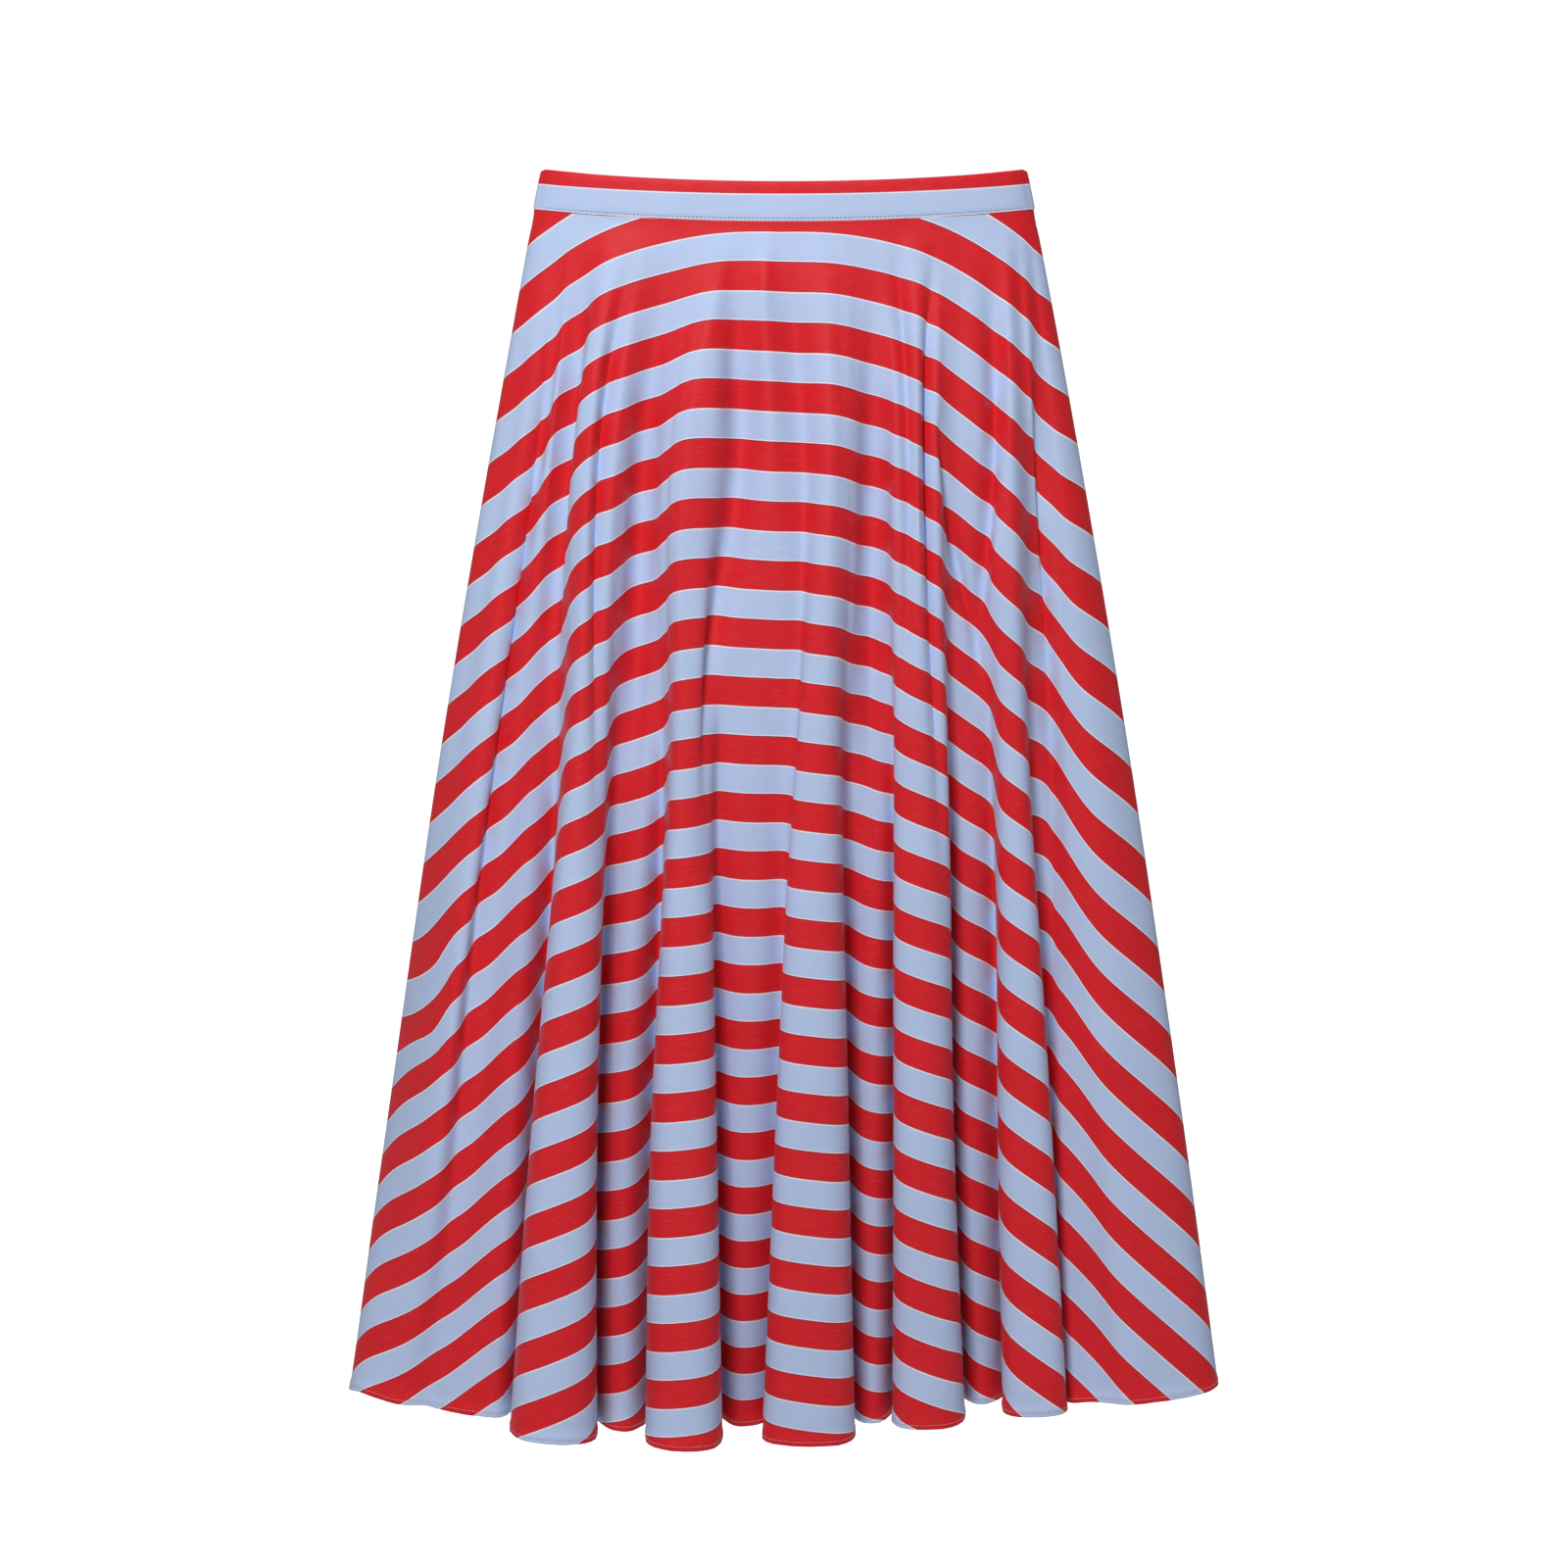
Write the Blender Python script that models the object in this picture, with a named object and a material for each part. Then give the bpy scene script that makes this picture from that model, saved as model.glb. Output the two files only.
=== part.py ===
"""A-line maxi skirt: a striped near half-circle skirt on a narrow waistband.

The skirt hangs hollow, held at its waist. The front is one wide panel, the back is two
panels with a concealed zip in the seam between them. Each panel is cut as a ring sector
round a centre point: an angle on the cut and a distance from that point name every spot
of cloth. The folds below say where the cloth of each angle hangs at five levels of the
skirt. Frame: metres, +Z up, the front faces -Y, the wearer's left hand is at +X. The
origin is the middle of the waistband's ring, half way up the band at the centre front.
"""
from collections import namedtuple
import math

import bmesh
import bpy
import numpy as np

MM = 0.001

# ---- the cut ---------------------------------------------------------------------------
SEAM_RADIUS_CENTRE = 227.5 * MM      # waist seam at the centre front, from the centre of the cut
SEAM_RADIUS_SIDE = 240.0 * MM        # waist seam at the side seams
SEAM_SIDE_ANGLE = 45.0               # degrees, where the side radius is reached
SEAM_EASE = 1.2                      # how late the waist seam leaves its centre radius
HEM_RADIUS = 1117.0 * MM

# ---- the waist -------------------------------------------------------------------------
WAIST_HALF_WIDTH = 176.5 * MM        # the waist seam hangs as a flat oval
WAIST_HALF_DEPTH = 31.0 * MM
WAIST_SIDE_RISE = 7.0 * MM           # side seams stand higher than the centre front
WAIST_BACK_DIP = 4.0 * MM            # the centre back lies lower than the centre front
BAND_HEIGHT = 28.0 * MM
BAND_TOP_HALF_WIDTH = 170.5 * MM
BAND_TOP_HALF_DEPTH = 29.5 * MM
BAND_WALL = 1.8 * MM                 # two layers of cloth and a stiffener

# ---- the cloth -------------------------------------------------------------------------
CLOTH_WALL = 1.2 * MM
SEAM_GAP = 0.3 * MM

# ---- the zip ---------------------------------------------------------------------------
TAPE_HALF_WIDTH = 12.0 * MM
TAPE_WALL = 1.0 * MM
TAPE_COLUMNS = 7
TAPE_BELOW_SEAM = 0.22               # share of the skirt's length that the zip opens
TAPE_BELOW_BAND_TOP = 2.0 * MM
SLIDER_SIZE = (5.4 * MM, 2.6 * MM, 8.0 * MM)
SLIDER_BELOW_BAND_TOP = 9.0 * MM
BRIDGE_WIDTH = 1.4 * MM              # the loop on the slider that carries the pull
BRIDGE_WIRE = 1.0 * MM
BRIDGE_HALF_SPAN = 1.7 * MM          # its opening, up and down from the pull's axis
BRIDGE_REACH = 2.5 * MM              # its opening, out from the slider's face
PULL_AXIS_REACH = 1.3 * MM           # the pull's axis, from the slider's face
PULL_WALL = 1.2 * MM
PULL_HEAD_WIDTH = 4.2 * MM
PULL_TIP_WIDTH = 5.6 * MM
PULL_LENGTH = 21.0 * MM              # from the axis to the tip
PULL_EYE_WIDTH = 2.2 * MM            # the eye that the bridge goes through
PULL_EYE_LENGTH = 3.3 * MM

# ---- the mesh --------------------------------------------------------------------------
PLAIN_COLUMN_ANGLE = 1.4             # degrees of the cut between columns where there is no pocket
POCKET_SPLIT = 0.4                   # where a pocket's bottom lies on the way from valley to crest
POCKET_COLUMNS = (0.0, 0.12, 0.25, 0.34, 0.40, 0.46, 0.58, 0.72, 0.86)
SOLID_LEVELS = (0.0, 0.025, 0.07, 0.14, 0.22, 0.35, 0.46, 0.57, 0.68, 0.79, 0.90, 1.0)
PATH_STEPS = 100                     # points on each fold's curve
FINE_LEVELS = 80                     # steps down the skirt when its drop is summed up
BAND_COLUMNS = 64

# The levels of the fold tables, as shares of the skirt's length: waist seam, hip, middle,
# low and hem. A hidden pocket of cloth lies behind each fold's edge; this is its depth.
LEVELS = (0.0, 0.13, 0.44, 0.75, 1.0)
POCKET_DEPTH = (0.0, 0.0, 12.0, 26.0, 36.0)      # mm
POCKET_FULL_AT = 20.0                            # mm, depth from which a pocket is fully formed
WAIST_REACH = 0.36
HEADING_SETTLES_AT = 0.10                        # share of the length where folds face on
FOLDS_START_AT = 0.02                            # share of the length that keeps the waist's oval

# One row for each crest or valley of the folds, from the wearer's right to left:
#   angle    degrees on the cut at the five levels, or one number for all of them
#   across   mm, X at hip, middle, low and hem
#   forward  mm, how far the cloth stands out of the side seams' plane at these levels
#   heading  degrees, the way the cloth runs there: 0 across, 90 outward, -90 inward
#   reach    how far the curve keeps that heading, as a share of the row spacing
#   pocket   depth of the hidden pocket before the next row, as a share of POCKET_DEPTH
Fold = namedtuple("Fold", "angle across forward heading reach pocket")

FRONT_FOLDS = (
    Fold((-43.8, -45.4, -45.5, -45.0, -44.9), (-197, -246, -289, -313), (-2, -8, -20, -50), 95,
         (0.45, 0.45, 0.45, 0.45), 0),
    Fold((-43.4, -45.1, -45.2, -44.8, -42.0), (-198, -247, -290, -323), (2, -2, -14, 0), 90,
         (0.30, 0.12, 0.12, 0.35), 0),
    Fold((-38.8, -39.3, -39.9, -40.1, -38.4), (-170, -208, -246, -268), (26, 38, 46, 32), 0,
         (0.30, 0.30, 0.30, 0.45), 0),
    Fold((-35.2, -35.4, -35.5, -35.8, -34.8), (-158, -180, -200, -214), (30, 32, 34, 40), 0,
         (0.40, 0.45, 0.50, 0.60), 1.1),
    Fold(-26.2, (-128, -142, -160, -172), (48, 70, 86, 97), 0, (0.40, 0.60, 1.05, 1.25), 0.9),
    Fold((-17.5, -17.5, -17.8, -18.1, -18.0), (-89, -102, -116, -118), (38, 42, 44, 44), 0,
         (0.40, 0.50, 0.60, 0.60), 1.1),
    Fold(-7.5, (-61, -69, -72, -71), (50, 70, 84, 92), 0, (0.40, 0.60, 1.00, 1.20), 0.6),
    Fold(0.0, (-21, -26, -29, -31), (44, 50, 42, 22), 0, (0.40, 0.50, 0.60, 0.60), 0.5),
    Fold(7.5, (31, 26, 23, 20), (50, 66, 72, 68), 0, (0.40, 0.60, 1.05, 1.35), 0.8),
    Fold((15.6, 15.6, 15.5, 15.4, 15.1), (61, 63, 65, 66), (40, 38, 32, 20), 0,
         (0.40, 0.50, 0.60, 0.60), 0.9),
    Fold((22.8, 22.8, 22.7, 22.3, 22.8), (93, 99, 103, 107), (46, 54, 54, 46), 0,
         (0.60, 1.00, 1.15, 1.25), 0.8),
    Fold((31.4, 31.4, 31.5, 31.4, 31.2), (124, 132, 136, 148), (32, 24, 14, 0), 0,
         (0.50, 0.60, 0.60, 0.60), 0.6),
    Fold((38.3, 38.3, 38.1, 38.0, 38.3), (157, 165, 181, 191), (32, 40, 42, 42), 0,
         (0.40, 0.60, 1.00, 1.30), 0.4),
    Fold((41.0, 41.5, 42.0, 42.6, 43.1), (173, 191, 205, 217), (22, 20, 16, 14), 0,
         (0.40, 0.45, 0.60, 0.60), 0),
    Fold((43.3, 45.0, 46.0, 45.8, 45.8), (187, 217, 240, 262), (12, 22, 26, 28), 0,
         (0.45, 0.45, 0.45, 0.45), 0),
    Fold((45.1, 46.9, 49.2, 50.0, 50.0), (199, 248, 291, 323), (0, 0, 0, 0), -90,
         (0.25, 0.20, 0.30, 0.40), 0),
)

BACK_FOLDS = (
    Fold((-44.5, -45.5, -47.0, -47.3, -47.3), (-197, -246, -289, -313), (2, 8, 20, 50), 85,
         (0.45, 0.45, 0.45, 0.45), 0),
    Fold(-42.0, (-178, -210, -240, -258), (26, 46, 68, 96), 0, (0.45, 0.45, 0.50, 0.60), 0.5),
    Fold(-37.0, (-158, -184, -206, -222), (30, 42, 54, 66), 0, (0.40, 0.45, 0.60, 0.60), 0.9),
    Fold(-30.2, (-132, -150, -168, -182), (46, 76, 106, 132), 0, (0.40, 0.60, 1.00, 1.20), 0.9),
    Fold(-22.0, (-100, -116, -127, -135), (38, 46, 58, 72), 0, (0.40, 0.50, 0.60, 0.60), 0.8),
    Fold(-13.6, (-68, -80, -88, -93), (52, 82, 112, 136), 0, (0.40, 0.60, 1.00, 1.20), 0.9),
    Fold(-5.6, (-30, -37, -43, -47), (45, 54, 62, 72), 0, (0.40, 0.50, 0.60, 0.60), 0),
    Fold(2.6, (8, 5, 3, 2), (51, 78, 104, 126), 0, (0.40, 0.60, 1.00, 1.20), 0.8),
    Fold(10.6, (44, 46, 49, 52), (44, 50, 58, 66), 0, (0.40, 0.50, 0.60, 0.60), 0.9),
    Fold(18.8, (78, 86, 92, 97), (52, 80, 108, 134), 0, (0.40, 0.60, 1.00, 1.20), 0.7),
    Fold(27.0, (110, 124, 134, 143), (38, 44, 54, 68), 0, (0.40, 0.50, 0.60, 0.60), 0.7),
    Fold(34.6, (144, 162, 178, 192), (40, 68, 94, 118), 0, (0.40, 0.60, 1.00, 1.10), 0.8),
    Fold((39.5, 40.0, 40.4, 40.4, 40.4), (166, 190, 214, 234), (28, 38, 48, 56), 0,
         (0.40, 0.45, 0.60, 0.60), 0.5),
    Fold((42.4, 43.2, 44.0, 44.2, 44.2), (182, 220, 252, 280), (18, 32, 46, 60), 0,
         (0.45, 0.45, 0.45, 0.50), 0),
    Fold((44.5, 45.5, 47.0, 47.3, 47.3), (199, 248, 291, 323), (0, 0, 0, 0), -90,
         (0.45, 0.45, 0.45, 0.45), 0),
)

FRONT = -1.0                         # the side of the XZ plane that a panel hangs on
BACK = 1.0


# ---- small helpers ---------------------------------------------------------------------
def smoothstep(share):
    share = np.clip(share, 0.0, 1.0)
    return share * share * (3.0 - 2.0 * share)


def through_levels(values, level):
    """A smooth curve through the values at LEVELS, read at one level."""
    values = np.asarray(values, float)
    steps = np.diff(LEVELS)
    slopes = np.diff(values) / steps
    inner = (slopes[:-1] * steps[1:] + slopes[1:] * steps[:-1]) / (steps[:-1] + steps[1:])
    tangents = np.concatenate([slopes[:1], inner, slopes[-1:]])
    i = int(np.clip(np.searchsorted(LEVELS, level) - 1, 0, len(steps) - 1))
    u = (level - LEVELS[i]) / steps[i]
    rise = u * u * (3.0 - 2.0 * u)
    return (values[i] * (1.0 - rise) + values[i + 1] * rise
            + steps[i] * (tangents[i] * u * (1.0 - u) ** 2 - tangents[i + 1] * u * u * (1.0 - u)))


def curve(start, start_handle, end_handle, end, u):
    """A cubic Bezier curve in one coordinate."""
    return (start * (1 - u) ** 3 + 3 * start_handle * u * (1 - u) ** 2
            + 3 * end_handle * u * u * (1 - u) + end * u ** 3)


def half_oval(share, half_width, half_depth):
    """A point of half an oval, by share of its length from -X to +X: X, outward and heading."""
    turn = np.linspace(-math.pi / 2, math.pi / 2, 2001)
    x = half_width * np.sin(turn)
    out = half_depth * np.cos(turn)
    length = np.concatenate([[0.0], np.cumsum(np.hypot(np.diff(x), np.diff(out)))])
    at = np.interp(share, length / length[-1], turn)
    heading = np.arctan2(-half_depth * np.sin(at), half_width * np.cos(at))
    return half_width * np.sin(at), half_depth * np.cos(at), heading


def seam_radius(angle):
    """Distance of the waist seam from the centre of the cut, at an angle in degrees."""
    share = np.minimum(1.0, np.abs(angle) / SEAM_SIDE_ANGLE)
    return SEAM_RADIUS_CENTRE + (SEAM_RADIUS_SIDE - SEAM_RADIUS_CENTRE) * share ** SEAM_EASE


def seam_height(x, side):
    """Height of the waist seam over the origin."""
    share = (x / WAIST_HALF_WIDTH) ** 2
    dip = WAIST_BACK_DIP if side == BACK else 0.0
    return WAIST_SIDE_RISE * share - dip * (1.0 - share) - BAND_HEIGHT / 2


# ---- the folds of a panel --------------------------------------------------------------
def fold_angles(folds, level):
    """The angle on the cut of each row at one level."""
    return np.array([through_levels(np.broadcast_to(f.angle, 5), level) for f in folds])


def pocket_path(valley, crest, reach, depth, u):
    """A curve from a valley down into its hidden pocket and out over it to the crest."""
    gap = crest[0] - valley[0]
    bottom = (valley[0] + 0.5 * gap, valley[1] - depth)
    down = np.clip(u / POCKET_SPLIT, 0.0, 1.0)
    out = np.clip((u - POCKET_SPLIT) / (1.0 - POCKET_SPLIT), 0.0, 1.0)
    x_down = curve(valley[0], valley[0] + 0.32 * gap, bottom[0] - 0.12 * gap, bottom[0], down)
    y_down = curve(valley[1], valley[1], bottom[1], bottom[1], down)
    x_out = curve(bottom[0], bottom[0] + 0.2 * gap, crest[0] - reach * gap, crest[0], out)
    y_out = curve(bottom[1], bottom[1], crest[1], crest[1], out)
    descending = u < POCKET_SPLIT
    return np.where(descending, x_down, x_out), np.where(descending, y_down, y_out)


def spread_along(length, rate, u):
    """The share of a fold's cut used up along its path, by a cubic with given end rates."""
    start, end = np.minimum(rate, 2.6 * length[-1])
    used = (start * u * (1 - u) ** 2 + length[-1] * u * u * (3 - 2 * u) - end * u * u * (1 - u))
    return np.interp(length, used, u)


def ring_at(folds, level):
    """The ring of cloth at one level: place among the rows, X and outward distance."""
    count = len(folds)
    angles = fold_angles(folds, level)
    waist = np.array([np.broadcast_to(f.angle, 5)[0] for f in folds])
    share = (waist - waist[0]) / (waist[-1] - waist[0])
    waist_x, waist_out, waist_heading = half_oval(share, WAIST_HALF_WIDTH, WAIST_HALF_DEPTH)
    x = np.array([through_levels((waist_x[i] / MM, *f.across), level) for i, f in enumerate(folds)]) * MM
    out = np.array([through_levels((waist_out[i] / MM, *f.forward), level)
                    for i, f in enumerate(folds)]) * MM
    reach = np.array([through_levels((WAIST_REACH, *f.reach), level) for f in folds])
    settled = smoothstep(level / HEADING_SETTLES_AT)
    heading = (1 - settled) * waist_heading + settled * np.radians([f.heading for f in folds])
    radius = seam_radius(angles) + (HEM_RADIUS - seam_radius(angles)) * level
    pocket = max(0.0, float(through_levels(POCKET_DEPTH, level))) if level > LEVELS[1] else 0.0
    formed = smoothstep(pocket / POCKET_FULL_AT)
    u = np.linspace(0.0, 1.0, PATH_STEPS + 1)
    paths, lengths = [], []
    for i in range(count - 1):
        spacing = abs(x[i + 1] - x[i])
        chord = math.hypot(x[i + 1] - x[i], out[i + 1] - out[i])
        upright = np.abs(np.sin(heading[i:i + 2]))
        handle = reach[i:i + 2] * (spacing * (1 - upright) + chord * upright)
        path_x = curve(x[i], x[i] + handle[0] * math.cos(heading[i]),
                       x[i + 1] - handle[1] * math.cos(heading[i + 1]), x[i + 1], u)
        path_out = curve(out[i], out[i] + handle[0] * math.sin(heading[i]),
                         out[i + 1] - handle[1] * math.sin(heading[i + 1]), out[i + 1], u)
        if folds[i].pocket > 0 and formed > 0:
            depth = pocket * MM * folds[i].pocket
            if out[i + 1] > out[i]:
                pocket_x, pocket_out = pocket_path((x[i], out[i]), (x[i + 1], out[i + 1]),
                                                   reach[i + 1], depth, u)
            else:
                pocket_x, pocket_out = pocket_path((x[i + 1], out[i + 1]), (x[i], out[i]),
                                                   reach[i], depth, u[::-1])
            path_x = path_x * (1 - formed) + pocket_x * formed
            path_out = path_out * (1 - formed) + pocket_out * formed
        paths.append((path_x, path_out))
        steps = np.hypot(np.diff(path_x), np.diff(path_out))
        lengths.append(np.concatenate([[0.0], np.cumsum(steps)]))
    # Path length per degree of the cut at each row: an average of both sides' where the cloth
    # hangs open, and the cut's own next to a hidden pocket.
    spans = np.diff(angles)
    open_rate = np.array([length[-1] for length in lengths]) / spans
    inner = 2 * open_rate[:-1] * open_rate[1:] / (open_rate[:-1] + open_rate[1:])
    rate = np.concatenate([open_rate[:1], inner, open_rate[-1:]])
    places, xs, outs = [], [], []
    for i, (length, (path_x, path_out)) in enumerate(zip(lengths, paths)):
        along = spread_along(length, rate[i:i + 2] * spans[i], u)
        if folds[i].pocket > 0 and formed > 0:
            cut = math.radians(spans[i]) * (radius[i] + radius[i + 1]) / 2
            spare = max(0.0, cut - length[-1])
            hidden = (length + spare * smoothstep((length / length[-1] - 0.2) / 0.6)) / (length[-1] + spare)
            along = along * (1 - formed) + hidden * formed
        last = PATH_STEPS + (i == count - 2)
        places.append(i + along[:last])
        xs.append(path_x[:last])
        outs.append(path_out[:last])
    return np.concatenate(places), np.concatenate(xs), np.concatenate(outs)


def panel_surface(folds, side):
    """A fine grid of a panel's middle surface: levels, places and points."""
    levels = np.linspace(0.0, 1.0, FINE_LEVELS + 1)
    places = np.linspace(0.0, len(folds) - 1.0, (len(folds) - 1) * PATH_STEPS + 1)
    x = np.zeros((len(levels), len(places)))
    out = np.zeros_like(x)
    angle = np.zeros_like(x)
    for row, level in enumerate(levels):
        place, ring_x, ring_out = ring_at(folds, level)
        x[row] = np.interp(places, place, ring_x)
        out[row] = np.interp(places, place, ring_out)
        angle[row] = np.interp(places, np.arange(len(folds)), fold_angles(folds, level))
    share = (angle[0] - angle[0, 0]) / (angle[0, -1] - angle[0, 0])
    oval_x, oval_out, _ = half_oval(share, WAIST_HALF_WIDTH, WAIST_HALF_DEPTH)
    free = smoothstep(levels / FOLDS_START_AT)[:, None]
    x = oval_x * (1 - free) + x * free
    out = oval_out * (1 - free) + out * free
    radius = seam_radius(angle) + (HEM_RADIUS - seam_radius(angle)) * levels[:, None]
    # The cloth doesn't stretch down the cut: what it doesn't use sideways, it drops.
    down_cut = np.diff(radius, axis=0)
    across_cut = np.radians(np.diff(angle, axis=0)) * (radius[1:] + radius[:-1]) / 2
    drop = np.sqrt(np.maximum(down_cut ** 2 + across_cut ** 2 - np.diff(x, axis=0) ** 2
                              - np.diff(out, axis=0) ** 2, (0.5 * down_cut) ** 2))
    z = seam_height(x[0], side) - np.concatenate([np.zeros((1, len(places))), np.cumsum(drop, axis=0)])
    return levels, places, np.stack([x, out * side, z], axis=-1)


def surface_normals(points, side):
    """Unit normals that face out of the skirt, level along the waist seam."""
    across = np.gradient(points, axis=1)
    down = np.gradient(points, axis=0)
    normal = np.cross(across, down) * side
    normal[0, :, 2] = 0.0
    return normal / np.linalg.norm(normal, axis=-1, keepdims=True)


def read_grid(levels, places, values, at_levels, at_places):
    """The grid's values at other levels, and at one row of places for each of them."""
    result = np.empty(np.shape(at_places) + (3,))
    for row, (level, row_places) in enumerate(zip(at_levels, at_places)):
        i = int(np.clip(np.searchsorted(levels, level) - 1, 0, len(levels) - 2))
        share = (level - levels[i]) / (levels[i + 1] - levels[i])
        line = values[i] * (1 - share) + values[i + 1] * share
        for axis in range(3):
            result[row, :, axis] = np.interp(row_places, places, line[:, axis])
    return result


def place_of_angle(folds, angle):
    """The place among the rows of an angle on the cut, at the hem."""
    return float(np.interp(angle, fold_angles(folds, 1.0), np.arange(len(folds))))


def column_places(folds, first, last):
    """The places of a solid's columns at each of its levels, between two places."""
    rings = [ring_at(folds, level)[0] for level in SOLID_LEVELS]
    angles = fold_angles(folds, LEVELS[-1])
    columns = []
    for i, fold in enumerate(folds[:-1]):
        low, high = max(first, i), min(last, i + 1)
        if low >= high:
            continue
        if fold.pocket > 0 and (low, high) == (i, i + 1):
            steps = np.array(POCKET_COLUMNS)
            if folds[i + 1].forward[-1] < fold.forward[-1]:
                steps = np.concatenate([[0.0], 1.0 - steps[:0:-1]])
            marks = np.round((i + steps) * PATH_STEPS).astype(int)
            columns.extend([ring[mark] for ring in rings] for mark in marks)
        else:
            spread = (angles[i + 1] - angles[i]) * (high - low)
            count = max(2, round(spread / PLAIN_COLUMN_ANGLE))
            columns.extend([place] * len(rings) for place in np.linspace(low, high, count, endpoint=False))
    columns.append([last] * len(rings))
    return np.array(columns).T


# ---- solids ----------------------------------------------------------------------------
def make_material(name, colour, roughness, metallic=0.0):
    material = bpy.data.materials.new(name)
    material.use_nodes = True
    shader = material.node_tree.nodes["Principled BSDF"]
    shader.inputs["Base Color"].default_value = (*colour, 1.0)
    shader.inputs["Roughness"].default_value = roughness
    shader.inputs["Metallic"].default_value = metallic
    material.diffuse_color = (*colour, 1.0)
    return material


def add_object(name, vertices, faces, material, smooth=True):
    mesh = bpy.data.meshes.new(name)
    mesh.from_pydata([tuple(v) for v in vertices], [], faces)
    mesh.update()
    mesh.materials.append(material)
    if smooth:
        mesh.shade_smooth()
        mesh.set_sharp_from_angle(angle=math.radians(50))
    thing = bpy.data.objects.new(name, mesh)
    bpy.context.scene.collection.objects.link(thing)
    return thing


def pull_in_edges(points, amount):
    """Moves the two side edges of a grid inwards, for the gap at a seam."""
    points = points.copy()
    for edge, inner in ((0, 1), (-1, -2)):
        way = points[:, inner] - points[:, edge]
        points[:, edge] += way / np.linalg.norm(way, axis=-1, keepdims=True) * amount
    return points


def add_wall(name, points, normals, wall, material, side):
    """A closed wall round a grid of middle points."""
    points = pull_in_edges(points, SEAM_GAP / 2)
    rows, columns = points.shape[:2]
    outer = (points + normals * wall / 2).reshape(-1, 3)
    inner = (points - normals * wall / 2).reshape(-1, 3)
    vertices = np.concatenate([outer, inner])
    under = rows * columns

    def at(row, column):
        return row * columns + column

    # Both sides of the wall are split along the same, shorter diagonal, so that they stay parallel.
    faces = []
    for r in range(rows - 1):
        for c in range(columns - 1):
            corners = (at(r, c), at(r + 1, c), at(r + 1, c + 1), at(r, c + 1))
            falling = np.linalg.norm(points[r, c] - points[r + 1, c + 1])
            rising = np.linalg.norm(points[r + 1, c] - points[r, c + 1])
            order = ((0, 1, 2), (0, 2, 3)) if falling < rising else ((0, 1, 3), (1, 2, 3))
            halves = [tuple(corners[i] for i in half) for half in order]
            for half in halves:
                faces.append(half)
                faces.append(tuple(v + under for v in reversed(half)))
    for c in range(columns - 1):
        faces.append((at(0, c), at(0, c + 1), at(0, c + 1) + under, at(0, c) + under))
        foot = rows - 1
        faces.append((at(foot, c + 1), at(foot, c), at(foot, c) + under, at(foot, c + 1) + under))
    for r in range(rows - 1):
        end = columns - 1
        faces.append((at(r + 1, 0), at(r, 0), at(r, 0) + under, at(r + 1, 0) + under))
        faces.append((at(r, end), at(r + 1, end), at(r + 1, end) + under, at(r, end) + under))
    if side == BACK:
        faces = [tuple(reversed(face)) for face in faces]
    return add_object(name, vertices, faces, material)


def solid_grid(folds, surface, side, first_angle, last_angle):
    """The solid's columns between two angles on the cut: places, points and normals."""
    levels, places, points = surface
    at_places = column_places(folds, place_of_angle(folds, first_angle), place_of_angle(folds, last_angle))
    grid = read_grid(levels, places, points, SOLID_LEVELS, at_places)
    normals = read_grid(levels, places, surface_normals(points, side), SOLID_LEVELS, at_places)
    return at_places, grid, normals / np.linalg.norm(normals, axis=-1, keepdims=True)


def add_panel(name, folds, surface, side, first_angle, last_angle, material):
    """One cut panel of the skirt, between two angles on its cut."""
    _, points, normals = solid_grid(folds, surface, side, first_angle, last_angle)
    return add_wall(name, points, normals, CLOTH_WALL, material, side)


def band_points(shares, side, rises):
    """Middle points and normals of the waistband, by share of the half oval and of its height."""
    rows, ways = [], []
    for rise in rises:
        half_width = WAIST_HALF_WIDTH + (BAND_TOP_HALF_WIDTH - WAIST_HALF_WIDTH) * rise
        half_depth = WAIST_HALF_DEPTH + (BAND_TOP_HALF_DEPTH - WAIST_HALF_DEPTH) * rise
        x, out, heading = half_oval(shares, half_width, half_depth)
        foot_x, _, _ = half_oval(shares, WAIST_HALF_WIDTH, WAIST_HALF_DEPTH)
        height = SEAM_GAP + (BAND_HEIGHT - SEAM_GAP) * rise
        rows.append(np.stack([x, out * side, seam_height(foot_x, side) + height], axis=-1))
        ways.append(np.stack([-np.sin(heading), np.cos(heading) * side, np.zeros_like(x)], axis=-1))
    return np.array(rows), np.array(ways)


def add_band(name, first_share, last_share, side, material):
    """A stretch of the waistband."""
    count = max(8, round(BAND_COLUMNS * (last_share - first_share)))
    # Columns gather at the tight turns of the oval's ends.
    spread = 0.5 - 0.5 * np.cos(np.linspace(0.0, math.pi, BAND_COLUMNS + 1))
    shares = np.interp(np.linspace(first_share, last_share, count + 1),
                       np.linspace(0.0, 1.0, BAND_COLUMNS + 1), spread)
    points, normals = band_points(shares, side, (1.0, 0.5, 0.0))
    return add_wall(name, points, normals, BAND_WALL, material, side)


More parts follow.
